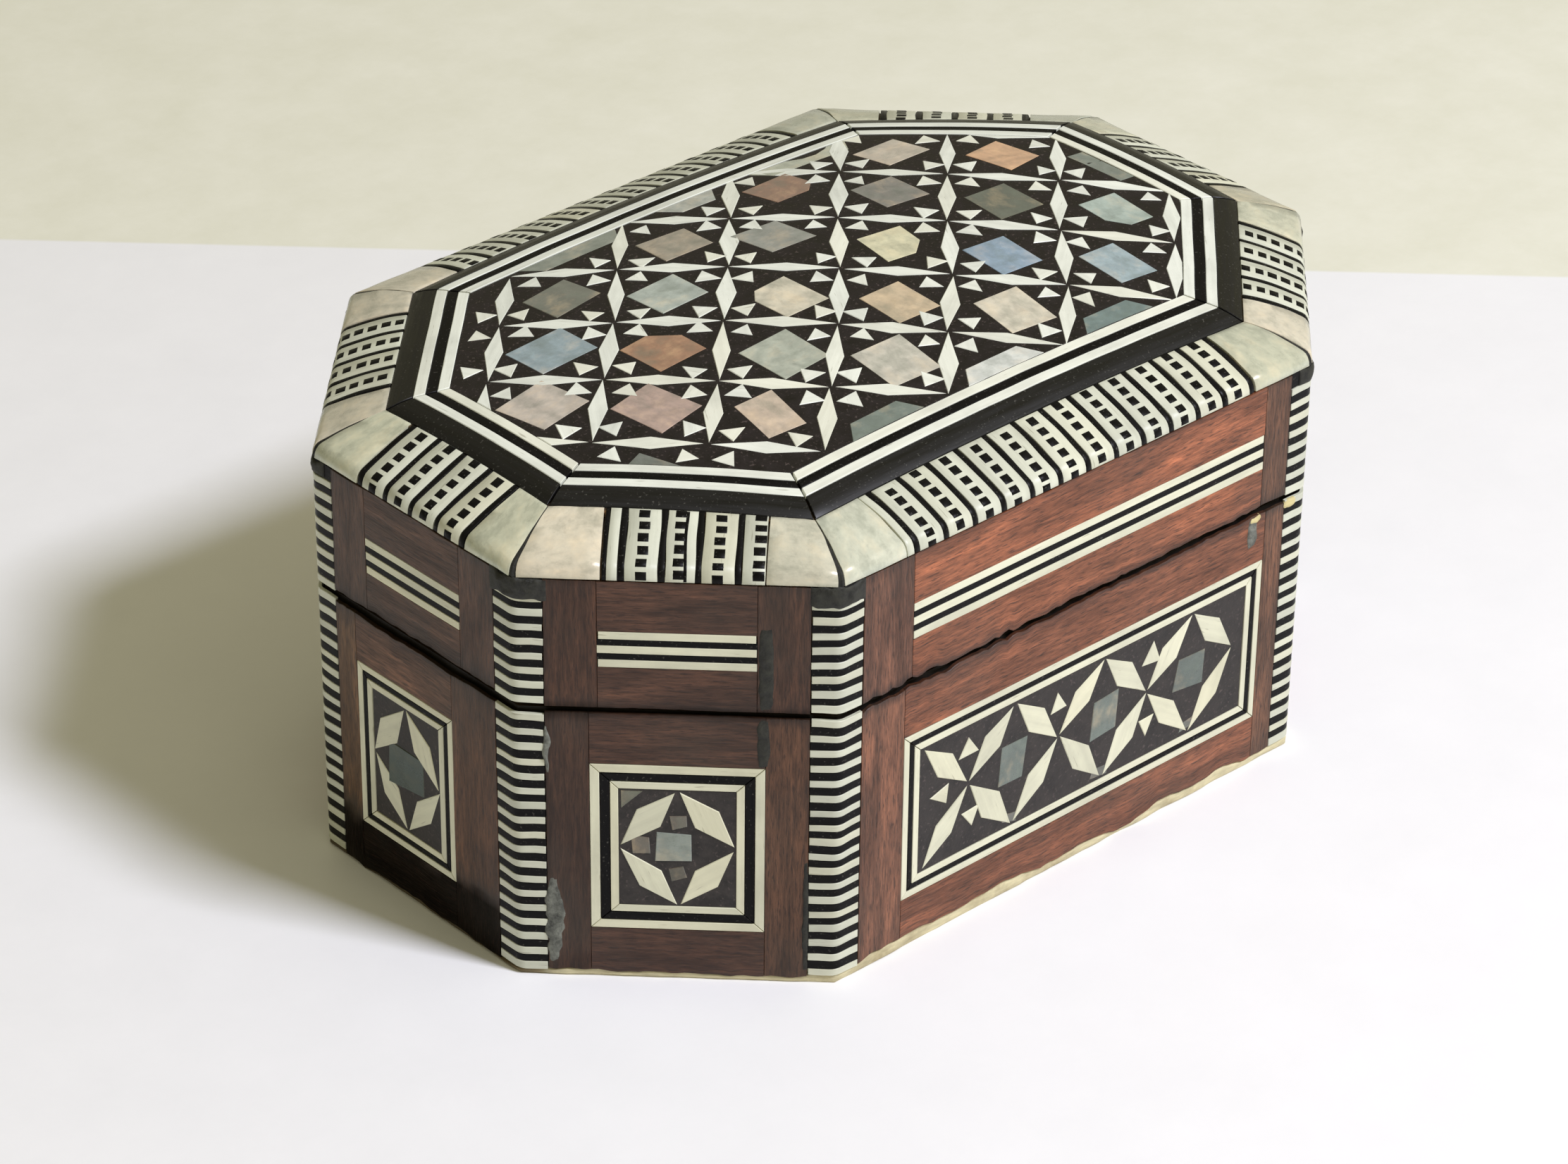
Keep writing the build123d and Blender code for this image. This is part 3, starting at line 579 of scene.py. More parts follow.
def board_look():
    look = Look("board_wood", Specular_IOR_Level=0.35)
    where = look.place((30, 30, 420), own=False)
    rings = look.noise(where, 1.0, 4.0, 0.6, 0.8)
    fibre = look.noise(look.place((160, 160, 2600), own=False), 1.0, 3.0)
    colour = look.mix(look.spread(rings), shade(150, 112, 74), shade(196, 160, 112))
    colour = look.scaled(colour, look.spread(fibre, 0.75, 1.1))
    where, normal = look.add("TexCoord", {}, "Object"), look.add("TexCoord", {}, "Normal")
    level = look.add("SeparateXYZ", {0: where}, 2)
    off = look.math("ABSOLUTE", look.math("SUBTRACT", level, (BASE_TOP + LID_BOTTOM) / 2 * MM))
    rise = look.math("ABSOLUTE", look.add("SeparateXYZ", {0: normal}, 2))
    # level faces darkened: a dark stain that also serves as painted shade in the seam's gap
    stained = look.mix(look.remap(rise, 0.6, 0.8), colour, look.scaled(colour, 0.16))
    # upright faces within about two millimetres of the seam are painted near black: painted shadow of the
    # seam's gap
    near = look.remap(off, 0.0014, 0.0026, 0.985, 0.0)
    near = look.math("MULTIPLY", near, look.remap(rise, 0.6, 0.8, 1.0, 0.0))
    shadowed_seam_edge = look.mix(near, stained, shade(9, 7, 6))
    level_normal = look.add("VectorMath", {0: normal, 1: (1.0, 1.0, 0.0)}, operation="MULTIPLY")
    outwards = look.add("VectorMath", {0: level_normal, 1: where}, "Value", operation="DOT_PRODUCT")
    lined = look.mix(look.remap(outwards, -0.02, -0.01, 1.0, 0.0), shadowed_seam_edge, shade(58, 8, 14))
    return look.finish(dirt(look, lined, 0.3), 0.62, fibre, 0.00008)


def velvet_look():
    look = Look("red_velvet", Sheen_Weight=0.7, Sheen_Roughness=0.35, Sheen_Tint=(0.75, 0.2, 0.22, 1.0))
    pile = look.cloud(5200.0, 2.0)
    nap = look.noise(look.place((1, 2.5, 1), own=False), 85.0, 4.0, 0.6)
    colour = look.mix(look.remap(nap, 0.35, 0.65), shade(102, 12, 20), shade(130, 18, 27))
    colour = look.scaled(colour, look.remap(pile, 0.35, 0.65, 0.7, 1.15))
    height = look.math("ADD", pile, look.math("MULTIPLY", nap, 1.5))
    return look.finish(colour, 0.92, height, 0.00018)


def brass_look():
    look = Look("aged_brass", Metallic=1.0)
    patina = look.cloud(380.0, 5.0, 0.65)
    brushed = look.noise(look.place((90, 2500, 2500), own=False), 1.0, 3.0)
    colour = look.mix(look.remap(patina, 0.42, 0.68), shade(206, 168, 92), shade(112, 84, 44))
    return look.finish(colour, look.remap(patina, 0.35, 0.7, 0.24, 0.52), brushed, 0.00002)


BONE, MOSAIC = bone_look(), ground_look()
BLACK, BAND = ebony_look("ebony_inlay", 0.3), ebony_look("ebony_band", 1.1)
PEARL, PEARL_RIM = pearl_look("pearl_shell", 1.0, 0.9), pearl_look("pearl_shell_rim", 0.25, 0.75)
WOOD, PUTTY, FOOT, BOARD = wood_look(), filler_look(), foot_look(), board_look()
VELVET, BRASS = velvet_look(), brass_look()


def build_all(*builders):
    for builder in builders:
        builder.build()


# ---- lower edge and seam

GLUE_LINE = 0.025
FOOT_LINE = {FRONT: (1.7, 1.5), FRONT_LEFT: (1.15, 0.5), LEFT: (0.7, 0.4)}  # side: mean height, chips
SEAM_WEAR = {  # side: mean, waves, tears
    LEFT: (0.72, 0.3, 0.25), FRONT_LEFT: (0.15, 0.1, 0.08), FRONT: (0.3, 0.35, 0.4),
}
TORN_END = -12.0  # left of this place, the front's seam is torn most
GRIME_AND_SHADE_REACH = {  # side: the darkening's reach at the seam, its height and share at the foot; grime with painted shade, the foot's share partly painted shadow near the table
    LEFT: (2.4, 12.5, 1.0), FRONT_LEFT: (1.6, 7.0, 0.3),
}


def foot_line(facet, u):
    """Height of the facing's uneven lower edge."""
    mean, chips = FOOT_LINE.get(facet.index, (1.2, 0.7))
    return mean + drift(u * 0.11, 0.0, facet.index, chips) + drift(u * 0.5, 4.0, facet.index, 0.35)


def seam_wear(facet, u, part):
    """How far the edge at the seam is worn back, in the base (0) or the lid (1)."""
    mean, slow, ragged = SEAM_WEAR.get(facet.index, (0.14, 0.2, 0.1))
    torn = ragged * (1.3 if facet.index == FRONT and u < TORN_END else 0.8)
    wave = drift(u * 0.13, 9.0 + part, facet.index, slow)
    return max(0.0, mean + wave + drift(u * 0.7, 5.0 + part, facet.index, torn))


def facing(builder, facet, u0, u1, z0, z1, colour, upright=False, h=0.0, low=None, high=None):
    """Veneer on one side; low and high are its uneven edges, as functions of u."""

    def place(u, z, height):
        bottom = low(u) if low else z0
        top = high(u) if high else z1
        lifted = bottom + (z - z0) / (z1 - z0) * (top - bottom)
        return facet.place(u, lifted, height + drift(u * 0.09, z * 0.09, facet.index, 0.07))

    step = 0.9 if low or high else 2.0
    builder.sheet(stations(u0, u1, step), stations(z0, z1, 1.5), place, h, 0.55, 0.05, upright, colour=colour)


def grimed_and_shaded(facet, colour):
    """Veneer colour darkened along the seam, at the foot, at the top edge and against the posts: grime, with
    painted shade at the seam and painted shadow at the foot.
    """
    seam_reach, foot_height, foot_share = GRIME_AND_SHADE_REACH.get(facet.index, (1.3, 5.0, 0.2))

    def darkened(u, z):
        seam = min(abs(z - BASE_TOP), abs(z - LID_BOTTOM))
        post = facet.length / 2 - POST_LEG - abs(u)
        ragged = drift(u * 0.25, z * 0.25, facet.index + 40, 1.0)
        # along the seam: grime, and painted shade of the gap
        share = 0.75 * max(0.0, 1 - seam / (seam_reach * (1 + 0.5 * ragged)))
        # at the foot: grime and painted shadow, darker towards the bottom, strongest on the left side
        share = max(share, foot_share * min(1.0, max(0.0, (foot_height + 2 * ragged - z) / 4.0)))
        brow = max(0.0, 1 - (WALL_TOP - z) / (1.5 + ragged))
        share = max(share, 0.35 * max(0.0, 1 - post / 1.2), 0.45 * brow)
        return blended(colour, GRIME_AND_SHADE, min(1.0, share))

    return darkened


PANEL_PLACE = {FRONT: (2.0, 0.0), LEFT: (-2.5, 0.9)}  # side: offset along it and shortening at each end
LINE_PLACE = {FRONT: (2.0, 0.0)}


def inlay_place(facet, margin, places):
    """The side counted from the middle of its inlay, the inlay's half length and its offset."""
    offset, less = places.get(facet.index, (0.0, 0.0))
    return facet.shifted(offset), facet.length / 2 - margin - less, offset


BOARD_TOP = 2.95


def foot_board():
    """Bottom board with the rounded, uneven pale edge that shows under the facing."""
    board = Builder("foot_board", FOOT, "base_board", smooth=50)
    rings = [[] for level in range(7)]
    for facet in FACETS:
        for u in stations(-facet.length / 2, facet.length / 2, 1.6)[:-1]:
            top = foot_line(facet, u) - 0.05
            bulge = drift(u * 0.3, 2.0, facet.index, 0.25)
            levels = ((1.3, 0.0), (0.5, 0.0), (0.25 - bulge, 0.22), (0.2 - bulge, top - 0.2),
                      (0.35, top - 0.03), (1.1, top), (1.1, BOARD_TOP))
            for ring, (inset, z) in zip(rings, levels):
                x, y = facet.point(u * (1 - 2 * inset * HALF_TURN / facet.length), inset)
                ring.append((x, y, z))
    n = len(rings[0])
    points = [p for ring in rings for p in ring]
    faces = [tuple(reversed(range(n))), tuple(range(6 * n, 7 * n))]
    for k in range(6):
        faces += ring_faces(k * n, (k + 1) * n, n)
    colours = []
    for x, y, z in points:
        # the pale edge turns darker towards the left end
        share = min(1.0, max(0.0, (-x - HALF_LENGTH + 4) / 3))
        colours.append(UNDER_LINING if z == BOARD_TOP else blended(PALE_WOOD, DARKER_FOOT, share))
    board.island(points, faces, [(p[0] + p[1], p[2], p[0]) for p in points], 0.5, colours)
    board.build()


def side_veneers():
    """Stiles beside the posts and rails above and below the inlay, on the base and on the lid."""
    stiles, rails, lid_stiles, lid_rails = pieces = (
        Builder("side_stiles", WOOD, "base_veneer_stiles", smooth=40),
        Builder("side_rails", WOOD, "base_veneer_rails", smooth=40),
        Builder("rim_stiles", WOOD, "lid_veneer_stiles", smooth=40),
        Builder("rim_rails", WOOD, "lid_veneer_rails", smooth=40),
    )
    for facet in FACETS:
        foot = lambda u, f=facet: foot_line(f, u)
        rim = lambda u, f=facet: BASE_TOP - seam_wear(f, u, 0)
        lip = lambda u, f=facet: LID_BOTTOM + seam_wear(f, u, 1)
        brow = lambda u, f=facet: WALL_TOP - 0.1 + drift(u * 0.3, 1.0, f.index, 0.12)
        end = facet.length / 2 - POST_LEG - GLUE_LINE
        half, middle = inlay_place(facet, PANEL_MARGIN, PANEL_PLACE)[1:]
        base = half, middle, VENEERS, BASE_LOW, BASE_TOP, {"low": foot}, {"high": rim}
        half, middle = inlay_place(facet, LINE_MARGIN, LINE_PLACE)[1:]
        lid = half, middle, LID_VENEERS, LID_BOTTOM, WALL_TOP, {"low": lip}, {"high": brow}
        for k, side in enumerate((-1, 1)):
            for builder, (half, middle, veneers, z0, z1, low, high) in ((stiles, base), (lid_stiles, lid)):
                colour = grimed_and_shaded(facet, dyed(shade(*veneers.get(facet.index, OTHER_VENEERS)[k]), 0.08))
                u0, u1 = sorted((middle + side * (half + GLUE_LINE), side * end))
                facing(builder, facet, u0, u1, z0, z1, colour, True, **low, **high)
        inlays = (rails, base, PANEL_LOW, PANEL_HIGH), (lid_rails, lid, LINES_LOW, LINES_HIGH)
        for builder, (half, middle, veneers, z0, z1, low, high), under, over in inlays:
            rail = shade(*veneers.get(facet.index, OTHER_VENEERS)[2])
            u0, u1 = middle - half + GLUE_LINE, middle + half - GLUE_LINE
            facing(builder, facet, u0, u1, z0, under - GLUE_LINE, grimed_and_shaded(facet, dyed(rail)), **low)
            facing(builder, facet, u0, u1, over + GLUE_LINE, z1, grimed_and_shaded(facet, dyed(rail)), **high)
    build_all(*pieces)


# ---- striped posts

POST_RADIUS = 2.2
BONE_STRIPE = 1.14
BASE_STRIPES, LID_STRIPES = 18, 8
SEAM_AT_POST = {7: 0.55, 6: 0.35, 0: 0.25}  # post, at its side's left end: wear of its ends at the seam
HALF_ARC = POST_RADIUS * pi / 8
POST_REACH = POST_LEG - POST_RADIUS * HALF_TURN + HALF_ARC
STRIPE_REACH = POST_REACH - 0.03


def around(index, s, z, h):
    """A place on the rounded upright edge, s along its facing from the middle of the round."""
    before, after = FACETS[index - 1], FACETS[index]
    straight = POST_RADIUS * HALF_TURN - HALF_ARC
    if s < -HALF_ARC:
        return before.place(before.length / 2 - straight + s, z, h)
    if s > HALF_ARC:
        return after.place(straight - after.length / 2 + s, z, h)
    corner = octagon(0)[index]
    nx, ny = (before.outward[k] + after.outward[k] for k in (0, 1))
    turn = atan2(ny, nx)
    back, reach = POST_RADIUS / cos(HALF_ANGLE), POST_RADIUS + h
    angle = turn + s / POST_RADIUS
    x, y = corner[0] - back * cos(turn), corner[1] - back * sin(turn)
    return (x + reach * cos(angle), y + reach * sin(angle), z)


def wrap(builder, index, s0, s1, z0, z1, h, colour):
    """A strip bent round an upright edge, gently out of level like its neighbours."""

    def place(s, z, height):
        return around(index, s, z + drift(s * 0.3, z * 0.15, index, 0.22), height)

    bends = (-2.4, -HALF_ARC, -HALF_ARC / 2, 0, HALF_ARC / 2, HALF_ARC, 2.4)
    bends = [s for s in bends if s0 + 0.2 < s < s1 - 0.2]
    builder.sheet([s0, *bends, s1], [z0, z1], place, h, 0.5, ease=0.07, colour=colour)


def striped_post(bone, ebony, index, low, high, stripes):
    pitch = (high - low - BONE_STRIPE) / (stripes - 1)
    for k in range(stripes):
        z = low + k * pitch
        top = z + BONE_STRIPE + wobble(0.12)
        s0, s1 = -POST_REACH + DICE.uniform(0.03, 0.2), POST_REACH - DICE.uniform(0.03, 0.2)
        wrap(bone, index, s0, s1, z + (0.03 if k else 0.0), top, 0.0, dyed(BONE_RIM))
        if k < stripes - 1:
            wrap(ebony, index, -STRIPE_REACH, STRIPE_REACH, top + 0.02, z + pitch + 0.01, -0.05, dyed(JET))


def posts():
    base_bone, base_ebony, lid_bone, lid_ebony = pieces = (
        Builder("side_post_bone", BONE, "base_post_bone"),
        Builder("side_post_ebony", BLACK, "base_post_ebony"),
        Builder("rim_post_bone", BONE, "lid_post_bone"),
        Builder("rim_post_ebony", BLACK, "lid_post_ebony"),
    )
    for index, facet in enumerate(FACETS):
        low = foot_line(facet, -facet.length / 2) * 0.5 + 0.6
        worn = SEAM_AT_POST.get(index, 0.1)
        striped_post(base_bone, base_ebony, index, low, BASE_TOP - worn, BASE_STRIPES)
        striped_post(lid_bone, lid_ebony, index, LID_BOTTOM + worn, POST_TOP, LID_STRIPES)
        wrap(lid_ebony, index, -STRIPE_REACH, STRIPE_REACH, POST_TOP + 0.03, WALL_TOP, -0.12, JET)
    build_all(*pieces)


# ---- filler and chips


def lump(builder, place, u0, u1, v0, v1, proud, colour, seed, taper=0.3):
    """Soft-edged dab of filler, thickest in its middle."""

    def raised(u, v, h):
        a, b = (2 * (u - u0) / (u1 - u0) - 1, 2 * (v - v0) / (v1 - v0) - 1)
        swell = max(0.0, 1 - a ** 4) * max(0.0, 1 - b ** 4)
        ragged = drift(u * 0.7, v * 0.7, seed, 0.45)
        width = (1 - taper * b * b) * (1 + drift(0.0, v * 0.6, seed + 2, 0.8 * taper))
        along = (u0 + u1) / 2 + a * width * (u1 - u0) / 2 + drift(1.0, v * 0.5, seed + 3, 0.5 * taper)
        height = h + proud * swell * (1 + drift(u, v, seed + 1, 0.8))
        return place(along + ragged * (1 - abs(a)), v + ragged, height)

    builder.sheet(stations(u0, u1, 0.35), stations(v0, v1, 0.35), raised, 0.0, 0.3, colour=colour)


CAP_SIZE = {7: 1.2, 0: 1.1}  # post: size of the filler over it, larger on the front left side's two


def fillers():
    """Filler over the posts, beside the inlays and along the posts, and pale chips at the seam."""
    lid, base, chips = pieces = (
        Builder("rim_filler", PUTTY, smooth=60, body="lid"),
        Builder("side_filler", PUTTY, smooth=60, body="base"),
        Builder("seam_chips", FOOT, smooth=60, body="base"),
    )
    for index in range(8):
        size = CAP_SIZE.get(index, 0.6)
        dab = lambda s, z, h, i=index: around(i, s, z, h)
        reach, low = 3.4 * size + 0.4, POST_TOP + 0.5 - size * size
        lump(lid, dab, -reach, reach, low, WALL_TOP - 0.05, 0.25 * size + 0.1, dyed(FILLER, 0.2), index, 0.0)
    diagonal, front = FACETS[FRONT_LEFT], FACETS[FRONT]
    beside = diagonal.length / 2 - LINE_MARGIN + 0.2
    left = POST_LEG - diagonal.length / 2
    right = front.length / 2 - PANEL_MARGIN
    end = front.length / 2
    smears = (
        (lid, diagonal, beside, beside + 2.0, LID_BOTTOM + 0.3, LINES_HIGH + 1.2, 0.2, FILLER, 21),
        (base, diagonal, beside - 0.2, beside + 1.6, PANEL_HIGH + 0.3, BASE_TOP - 0.4, 0.2, FILLER, 22),
        (base, diagonal, left - 0.4, left + 2.2, 2.2, 16.0, 0.18, SMEAR, 23, 0.7),
        (base, diagonal, left - 0.3, left + 0.7, 33.0, 40.5, 0.16, SMEAR, 24, 0.7),
        (base, diagonal, -left - 0.7, -left + 0.1, 2.2, 20.0, 0.16, FILLER, 25),
        (base, front, right - 1.6, right + 0.4, BASE_TOP - 5.0, BASE_TOP - 0.6, 0.2, SMEAR, 26),
        (chips, front, right - 1.2, right + 1.0, BASE_TOP - 1.3, BASE_TOP - 0.2, 0.2, CHIP, 27),
        (chips, front, end - 4.2, end - 1.6, BASE_TOP - 1.4, BASE_TOP - 0.1, 0.2, CHIP, 28),
    )
    for builder, facet, *rest in smears:
        lump(builder, facet.place, *rest)
    build_all(*pieces)


# ---- inlay of the walls

BORDER = {FRONT_LEFT: (1.36, 2.7, 3.86)}  # side: inner edges of its three strips
OTHER_BORDER = (1.1, 2.0, 3.1)
LINE_BONE, LINE_EBONY = 1.15, 1.0
SHELL_DARK = shade(98, 96, 84)
SHELL_BLUE = shade(134, 142, 136)
SHELL_BROWN = shade(92, 85, 78)
SHELL_GREY = shade(88, 94, 88)
SHELL_DULL = shade(50, 55, 46)


def inlaid(builder, outline, place, h=0.0, tilt=0.03, **options):
    """A tile set by hand: one side a little deeper than the other."""
    if len(outline) < 3 or area(outline) < 0.15:
        return
    cx = sum(p[0] for p in outline) / len(outline)
    cy = sum(p[1] for p in outline) / len(outline)
    span = max(hypot(x - cx, y - cy) for x, y in outline)
    a, b, sink = wobble(tilt) / span, wobble(tilt) / span, DICE.uniform(-tilt, 0)

    def tilted(x, y, height):
        return place(x, y, height + sink + a * (x - cx) + b * (y - cy))

    sides = [(x1 - x0, y1 - y0) for (x0, y0), (x1, y1) in zip(outline, outline[1:] + outline[:1])]
    dx, dy = max(sides, key=lambda side: hypot(*side))
    builder.tile(outline, tilted, h, turn=atan2(dy, dx), **options)


def border(builder, facet, half, outer, inner, h, colour):
    """Four mitred strips round a panel, between two distances from its edge."""
    rings = []
    for d in (outer, inner):
        u, low, high = half - d, PANEL_LOW + d, PANEL_HIGH - d
        rings.append([(-u, low), (u, low), (u, high), (-u, high)])
    for i in range(4):
        strip = [rings[0][i], rings[0][(i + 1) % 4], rings[1][(i + 1) % 4], rings[1][i]]
        inlaid(builder, shrink(strip, 0.045), facet.place, h, 0.02, colour=dyed(colour), ease=0.06)


def star_panel(facet, half, low, high, bone, pearl):
    """Short side: four fat rhombi round a square of shell."""
    middle = (low + high) / 2
    points = [(0, low), (half, middle), (0, high), (-half, middle)]
    for i in range(4):
        inlaid(bone, rhombus(points[i], points[(i + 1) % 4], 3.9, 0.35), facet.place, colour=dyed(BONE_SIDE))
    if facet.index == LEFT:
        centre = quad((-0.2, middle), 7.2, 6.6, 0.06, 0.3, 0.5)
        inlaid(pearl, centre, facet.place, -0.03, colour=SHELL_DULL)
        return
    centre = quad((-0.5, middle + 0.1), 4.7, 4.4, wobble(0.1), 0.15)
    inlaid(pearl, centre, facet.place, -0.03, colour=SHELL_BLUE)
    for u, z, wide, tall in ((0.2, 4.2, 2.0, 2.0), (0.1, -4.1, 2.2, 2.0), (-4.9, 0.3, 2.6, 3.0)):
        bit = quad((u, middle + z), wide, tall, wobble(0.3))
        inlaid(pearl, bit, facet.place, -0.04, colour=dyed(SHELL_BROWN, 0.25))
    corner = [(-half + 0.3, high - 3.2), (-half + 3.3, high - 0.3), (-half + 0.3, high - 0.3)]
    inlaid(pearl, corner, facet.place, -0.04, colour=dyed(SHELL_DARK, 0.2))


def lattice_panel(facet, half, low, high, bone, small, pearl):
    """Long side: crossed rhombi with shell between the crossings."""
    middle = (low + high) / 2
    start, pitch = 0.6 - half, (2 * half - 2.6) / 3.5  # three and a half crossings, ending short of the right

    def triangle(here, direction, near, height, base):
        inlaid(small, arrow(here, direction, near, height, base), facet.place, colour=dyed(BONE_SIDE))

    for k in range(4):
        node = (start + (k + 0.5) * pitch, middle + 0.7 + wobble(0.3))
        for sx in (-1,) if k == 3 else (-1, 1):
            for z in (low + 0.2, high - 0.2):
                end = (node[0] + sx * pitch / 2, z)
                inlaid(bone, rhombus(node, end, 4.1, 0.3), facet.place, colour=dyed(BONE_SIDE))
        if k < 3:
            triangle(node, (0, 1), 4.5, 3.3, 3.4)
        if k in (0, 2):
            triangle(node, (0, -1), 4.6, 3.0, 3.2)
        if k:
            tile = quad((start + k * pitch, middle + 0.4), 5.4, 6.2, wobble(0.25), 0.3, 0.6)
            inlaid(pearl, tile, facet.place, -0.04, colour=dyed(SHELL_GREY, 0.2))
            bit = quad((start + k * pitch - 0.4, low + 1.5), 3.0, 1.6, wobble(0.2))
            inlaid(pearl, bit, facet.place, -0.05, colour=dyed(SHELL_BROWN, 0.2))
    triangle((start + pitch / 2, middle), (-1, 0), 4.0, 3.3, 3.3)


def side_panels():
    bone_border, ebony_border, ground, rhombi, small, pearl = pieces = (
        Builder("side_border_bone", BONE, "base_panel_border_bone"),
        Builder("side_border_ebony", BLACK, "base_panel_border_ebony"),
        Builder("side_ground", MOSAIC, "base_panel_ground", smooth=40),
        Builder("side_rhombi", BONE, "base_panel_rhombi"),
        Builder("side_triangles", BONE, "base_panel_triangles"),
        Builder("side_pearl", PEARL, "base_panel_pearl"),
    )
    for facet in FACETS:
        facet, half = inlay_place(facet, PANEL_MARGIN, PANEL_PLACE)[:2]
        first, second, third = BORDER.get(facet.index, OTHER_BORDER)
        border(bone_border, facet, half, 0, first, 0.02, BONE_SIDE)
        border(ebony_border, facet, half, first, second, -0.03, JET)
        border(bone_border, facet, half, second, third, 0.01, BONE_SIDE)
        u, low, high = half - third, PANEL_LOW + third, PANEL_HIGH - third
        facing(ground, facet, -u, u, low, high, dyed(GROUND_SIDE), h=-0.12)
        if facet.is_long:
            lattice_panel(facet, u, low, high, rhombi, small, pearl)
        else:
            star_panel(facet, u, low, high, rhombi, pearl)
    build_all(*pieces)


def rim_lines():
    """Three bone and two ebony lines in each wall of the lid."""
    bone = Builder("rim_line_bone", BONE, "lid_line_bone")
    ebony = Builder("rim_line_ebony", BLACK, "lid_line_ebony")
    for facet in FACETS:
        facet, half = inlay_place(facet, LINE_MARGIN, LINE_PLACE)[:2]
        for k in range(3):
            z = LINES_LOW + k * (LINE_BONE + LINE_EBONY)
            top = z + LINE_BONE
            u0, u1 = -half + DICE.uniform(0, 0.2), half - DICE.uniform(0, 0.2)
            facing(bone, facet, u0, u1, z, top, dyed(BONE_SIDE), h=0.02)
            if k < 2:
                facing(ebony, facet, -half, half, top + 0.02, top + LINE_EBONY - 0.02, JET, h=-0.03)
    build_all(bone, ebony)


# ---- bevel of the lid

BEVEL_ARC = 11.2  # length of the slope, from the wall to the band
BEVEL_TOP = crown(0, HALF_WIDTH - BEVEL_WIDTH)
EDGE_WIDTH, EDGE_HEIGHT = 1.5, 2.25  # half axes of the rounding over the wall
EDGE_TURN = radians(75)
EDGE_SHARE = 0.25  # share of the slope's length taken by the rounding
SWELL = 0.2  # slight convexity of the rest
LADDER = 4.3
BLACK_LINE = 1.0
RUNGS = 6
SLOPE_LOW, SLOPE_HIGH = 0.05, BEVEL_ARC - 0.1  # where the strips start and end
SQUARE = 1.3  # a black square's length up the slope
SQUARES_AT = {"ladder": (1.4, 1.5), "joined": (1.0, 1.45), "half": (1.4, 1.6)}  # strip: first edge, width
PEARL_CORNERS = (
    (204, 202, 176), (208, 204, 182), (198, 198, 172), (212, 203, 180), (204, 196, 168), (202, 203, 182),
)


def bevel_section(facet, u, v):
    """Inset and height of the bevel, v millimetres up its slope."""
    end = facet.length / 2 - BEVEL_WIDTH * HALF_TURN
    fall = crown(*facet.point(max(-end, min(end, u)), BEVEL_WIDTH)) - BEVEL_TOP
    share = v / BEVEL_ARC
    turn = EDGE_TURN * min(1.0, share / EDGE_SHARE)
    inset, rise = EDGE_WIDTH * (1 - cos(turn)), EDGE_HEIGHT * sin(turn)
    straight = max(0.0, (share - EDGE_SHARE) / (1 - EDGE_SHARE))
    inset += (BEVEL_WIDTH - inset) * straight
    rise += (BEVEL_TOP - RIM_TOP - rise) * straight + SWELL * sin(pi * min(1.0, straight))
    return inset, RIM_TOP + rise + fall * share ** 3


def on_bevel(facet, u, v, h):
    inset, z = bevel_section(facet, u, v)
    further, higher = bevel_section(facet, u, v + 0.05)
    span = hypot(further - inset, higher - z)
    x, y = facet.point(u, inset - h * (higher - z) / span)
    return (x, y, z + h * (further - inset) / span)


def slope(builder, facet, u0, u1, v0, v1, h, colour, turned=True):
    """A strip of the bevel between two places along the side and two up the slope."""
    wave = DICE.uniform(0, 50)

    def place(u, v, height):
        return on_bevel(facet, u + drift(v * 0.2, wave, 5, 0.18), v, height)

    builder.sheet([u0, u1], stations(v0, v1, 0.7), place, h, 0.5, ease=0.06, turned=turned, colour=colour)


def mitre(facet, side, v):
    """Where the bevel of a side ends against its neighbour's, v millimetres up the slope."""
    return side * (facet.length / 2 - bevel_section(facet, side * facet.length / 2, v)[0] * HALF_TURN)


def pearl_patch(pearl, filler, facet, side, inner):
    """Shell from the lattice to the mitre, and the dark wedge of filler beyond it."""
    gap = lambda v: 0.1 + 0.5 * (1 - v / BEVEL_ARC) ** 1.5 + drift(v * 0.4, side, facet.index, 0.1)
    lean = wobble(0.5)
    run = abs(mitre(facet, side, BEVEL_ARC / 2) - inner)

    def stretched(s, v, h):
        near = inner + side * (0.1 + lean * (v / BEVEL_ARC - 0.5) * 0.3 + 0.15)
        far = mitre(facet, side, v) - side * gap(v)
        k = s / run if side > 0 else 1 - s / run
        return on_bevel(facet, near + (far - near) * k, v, h + drift(v * 0.3, k * 4, facet.index, 0.1))

    def wedge(k, v, h):
        far = mitre(facet, side, v)
        k = k if side > 0 else 1 - k
        return on_bevel(facet, far - side * (1 - k) * (gap(v) - 0.03), v, h)

    colour = dyed(shade(*DICE.choice(PEARL_CORNERS)), 0.08)
    vs = stations(0.1, BEVEL_ARC - 0.1, 0.7)
    turned = facet.index % 2 == 0
    pearl.sheet(stations(0, run, 2.0), vs, stretched, 0.0, 0.55, ease=0.02, turned=turned, colour=colour)
    filler.sheet((0.0, 0.5, 1.0), vs, wedge, -0.12, 0.4, ease=0.02, colour=FILLER_DARK)


def ladder(bone, squares, facet, u, wide, first, across):
    """Bone strip with a row of black squares, from first along it."""
    slope(bone, facet, u, u + wide, SLOPE_LOW, SLOPE_HIGH, 0.0, dyed(BONE_RIM))
    pitch = SLOPE_HIGH / (RUNGS - 0.1)
    start = DICE.uniform(-0.5, 0.6)
    for rung in range(RUNGS):
        v = start + rung * pitch
        low, high = max(SLOPE_LOW, v), min(BEVEL_ARC - 0.12, v + SQUARE + wobble(0.12))
        if high - low > 0.4:
            left = u + first + wobble(0.08)
            slope(squares, facet, left, left + across, low, high, 0.03, dyed(JET), False)


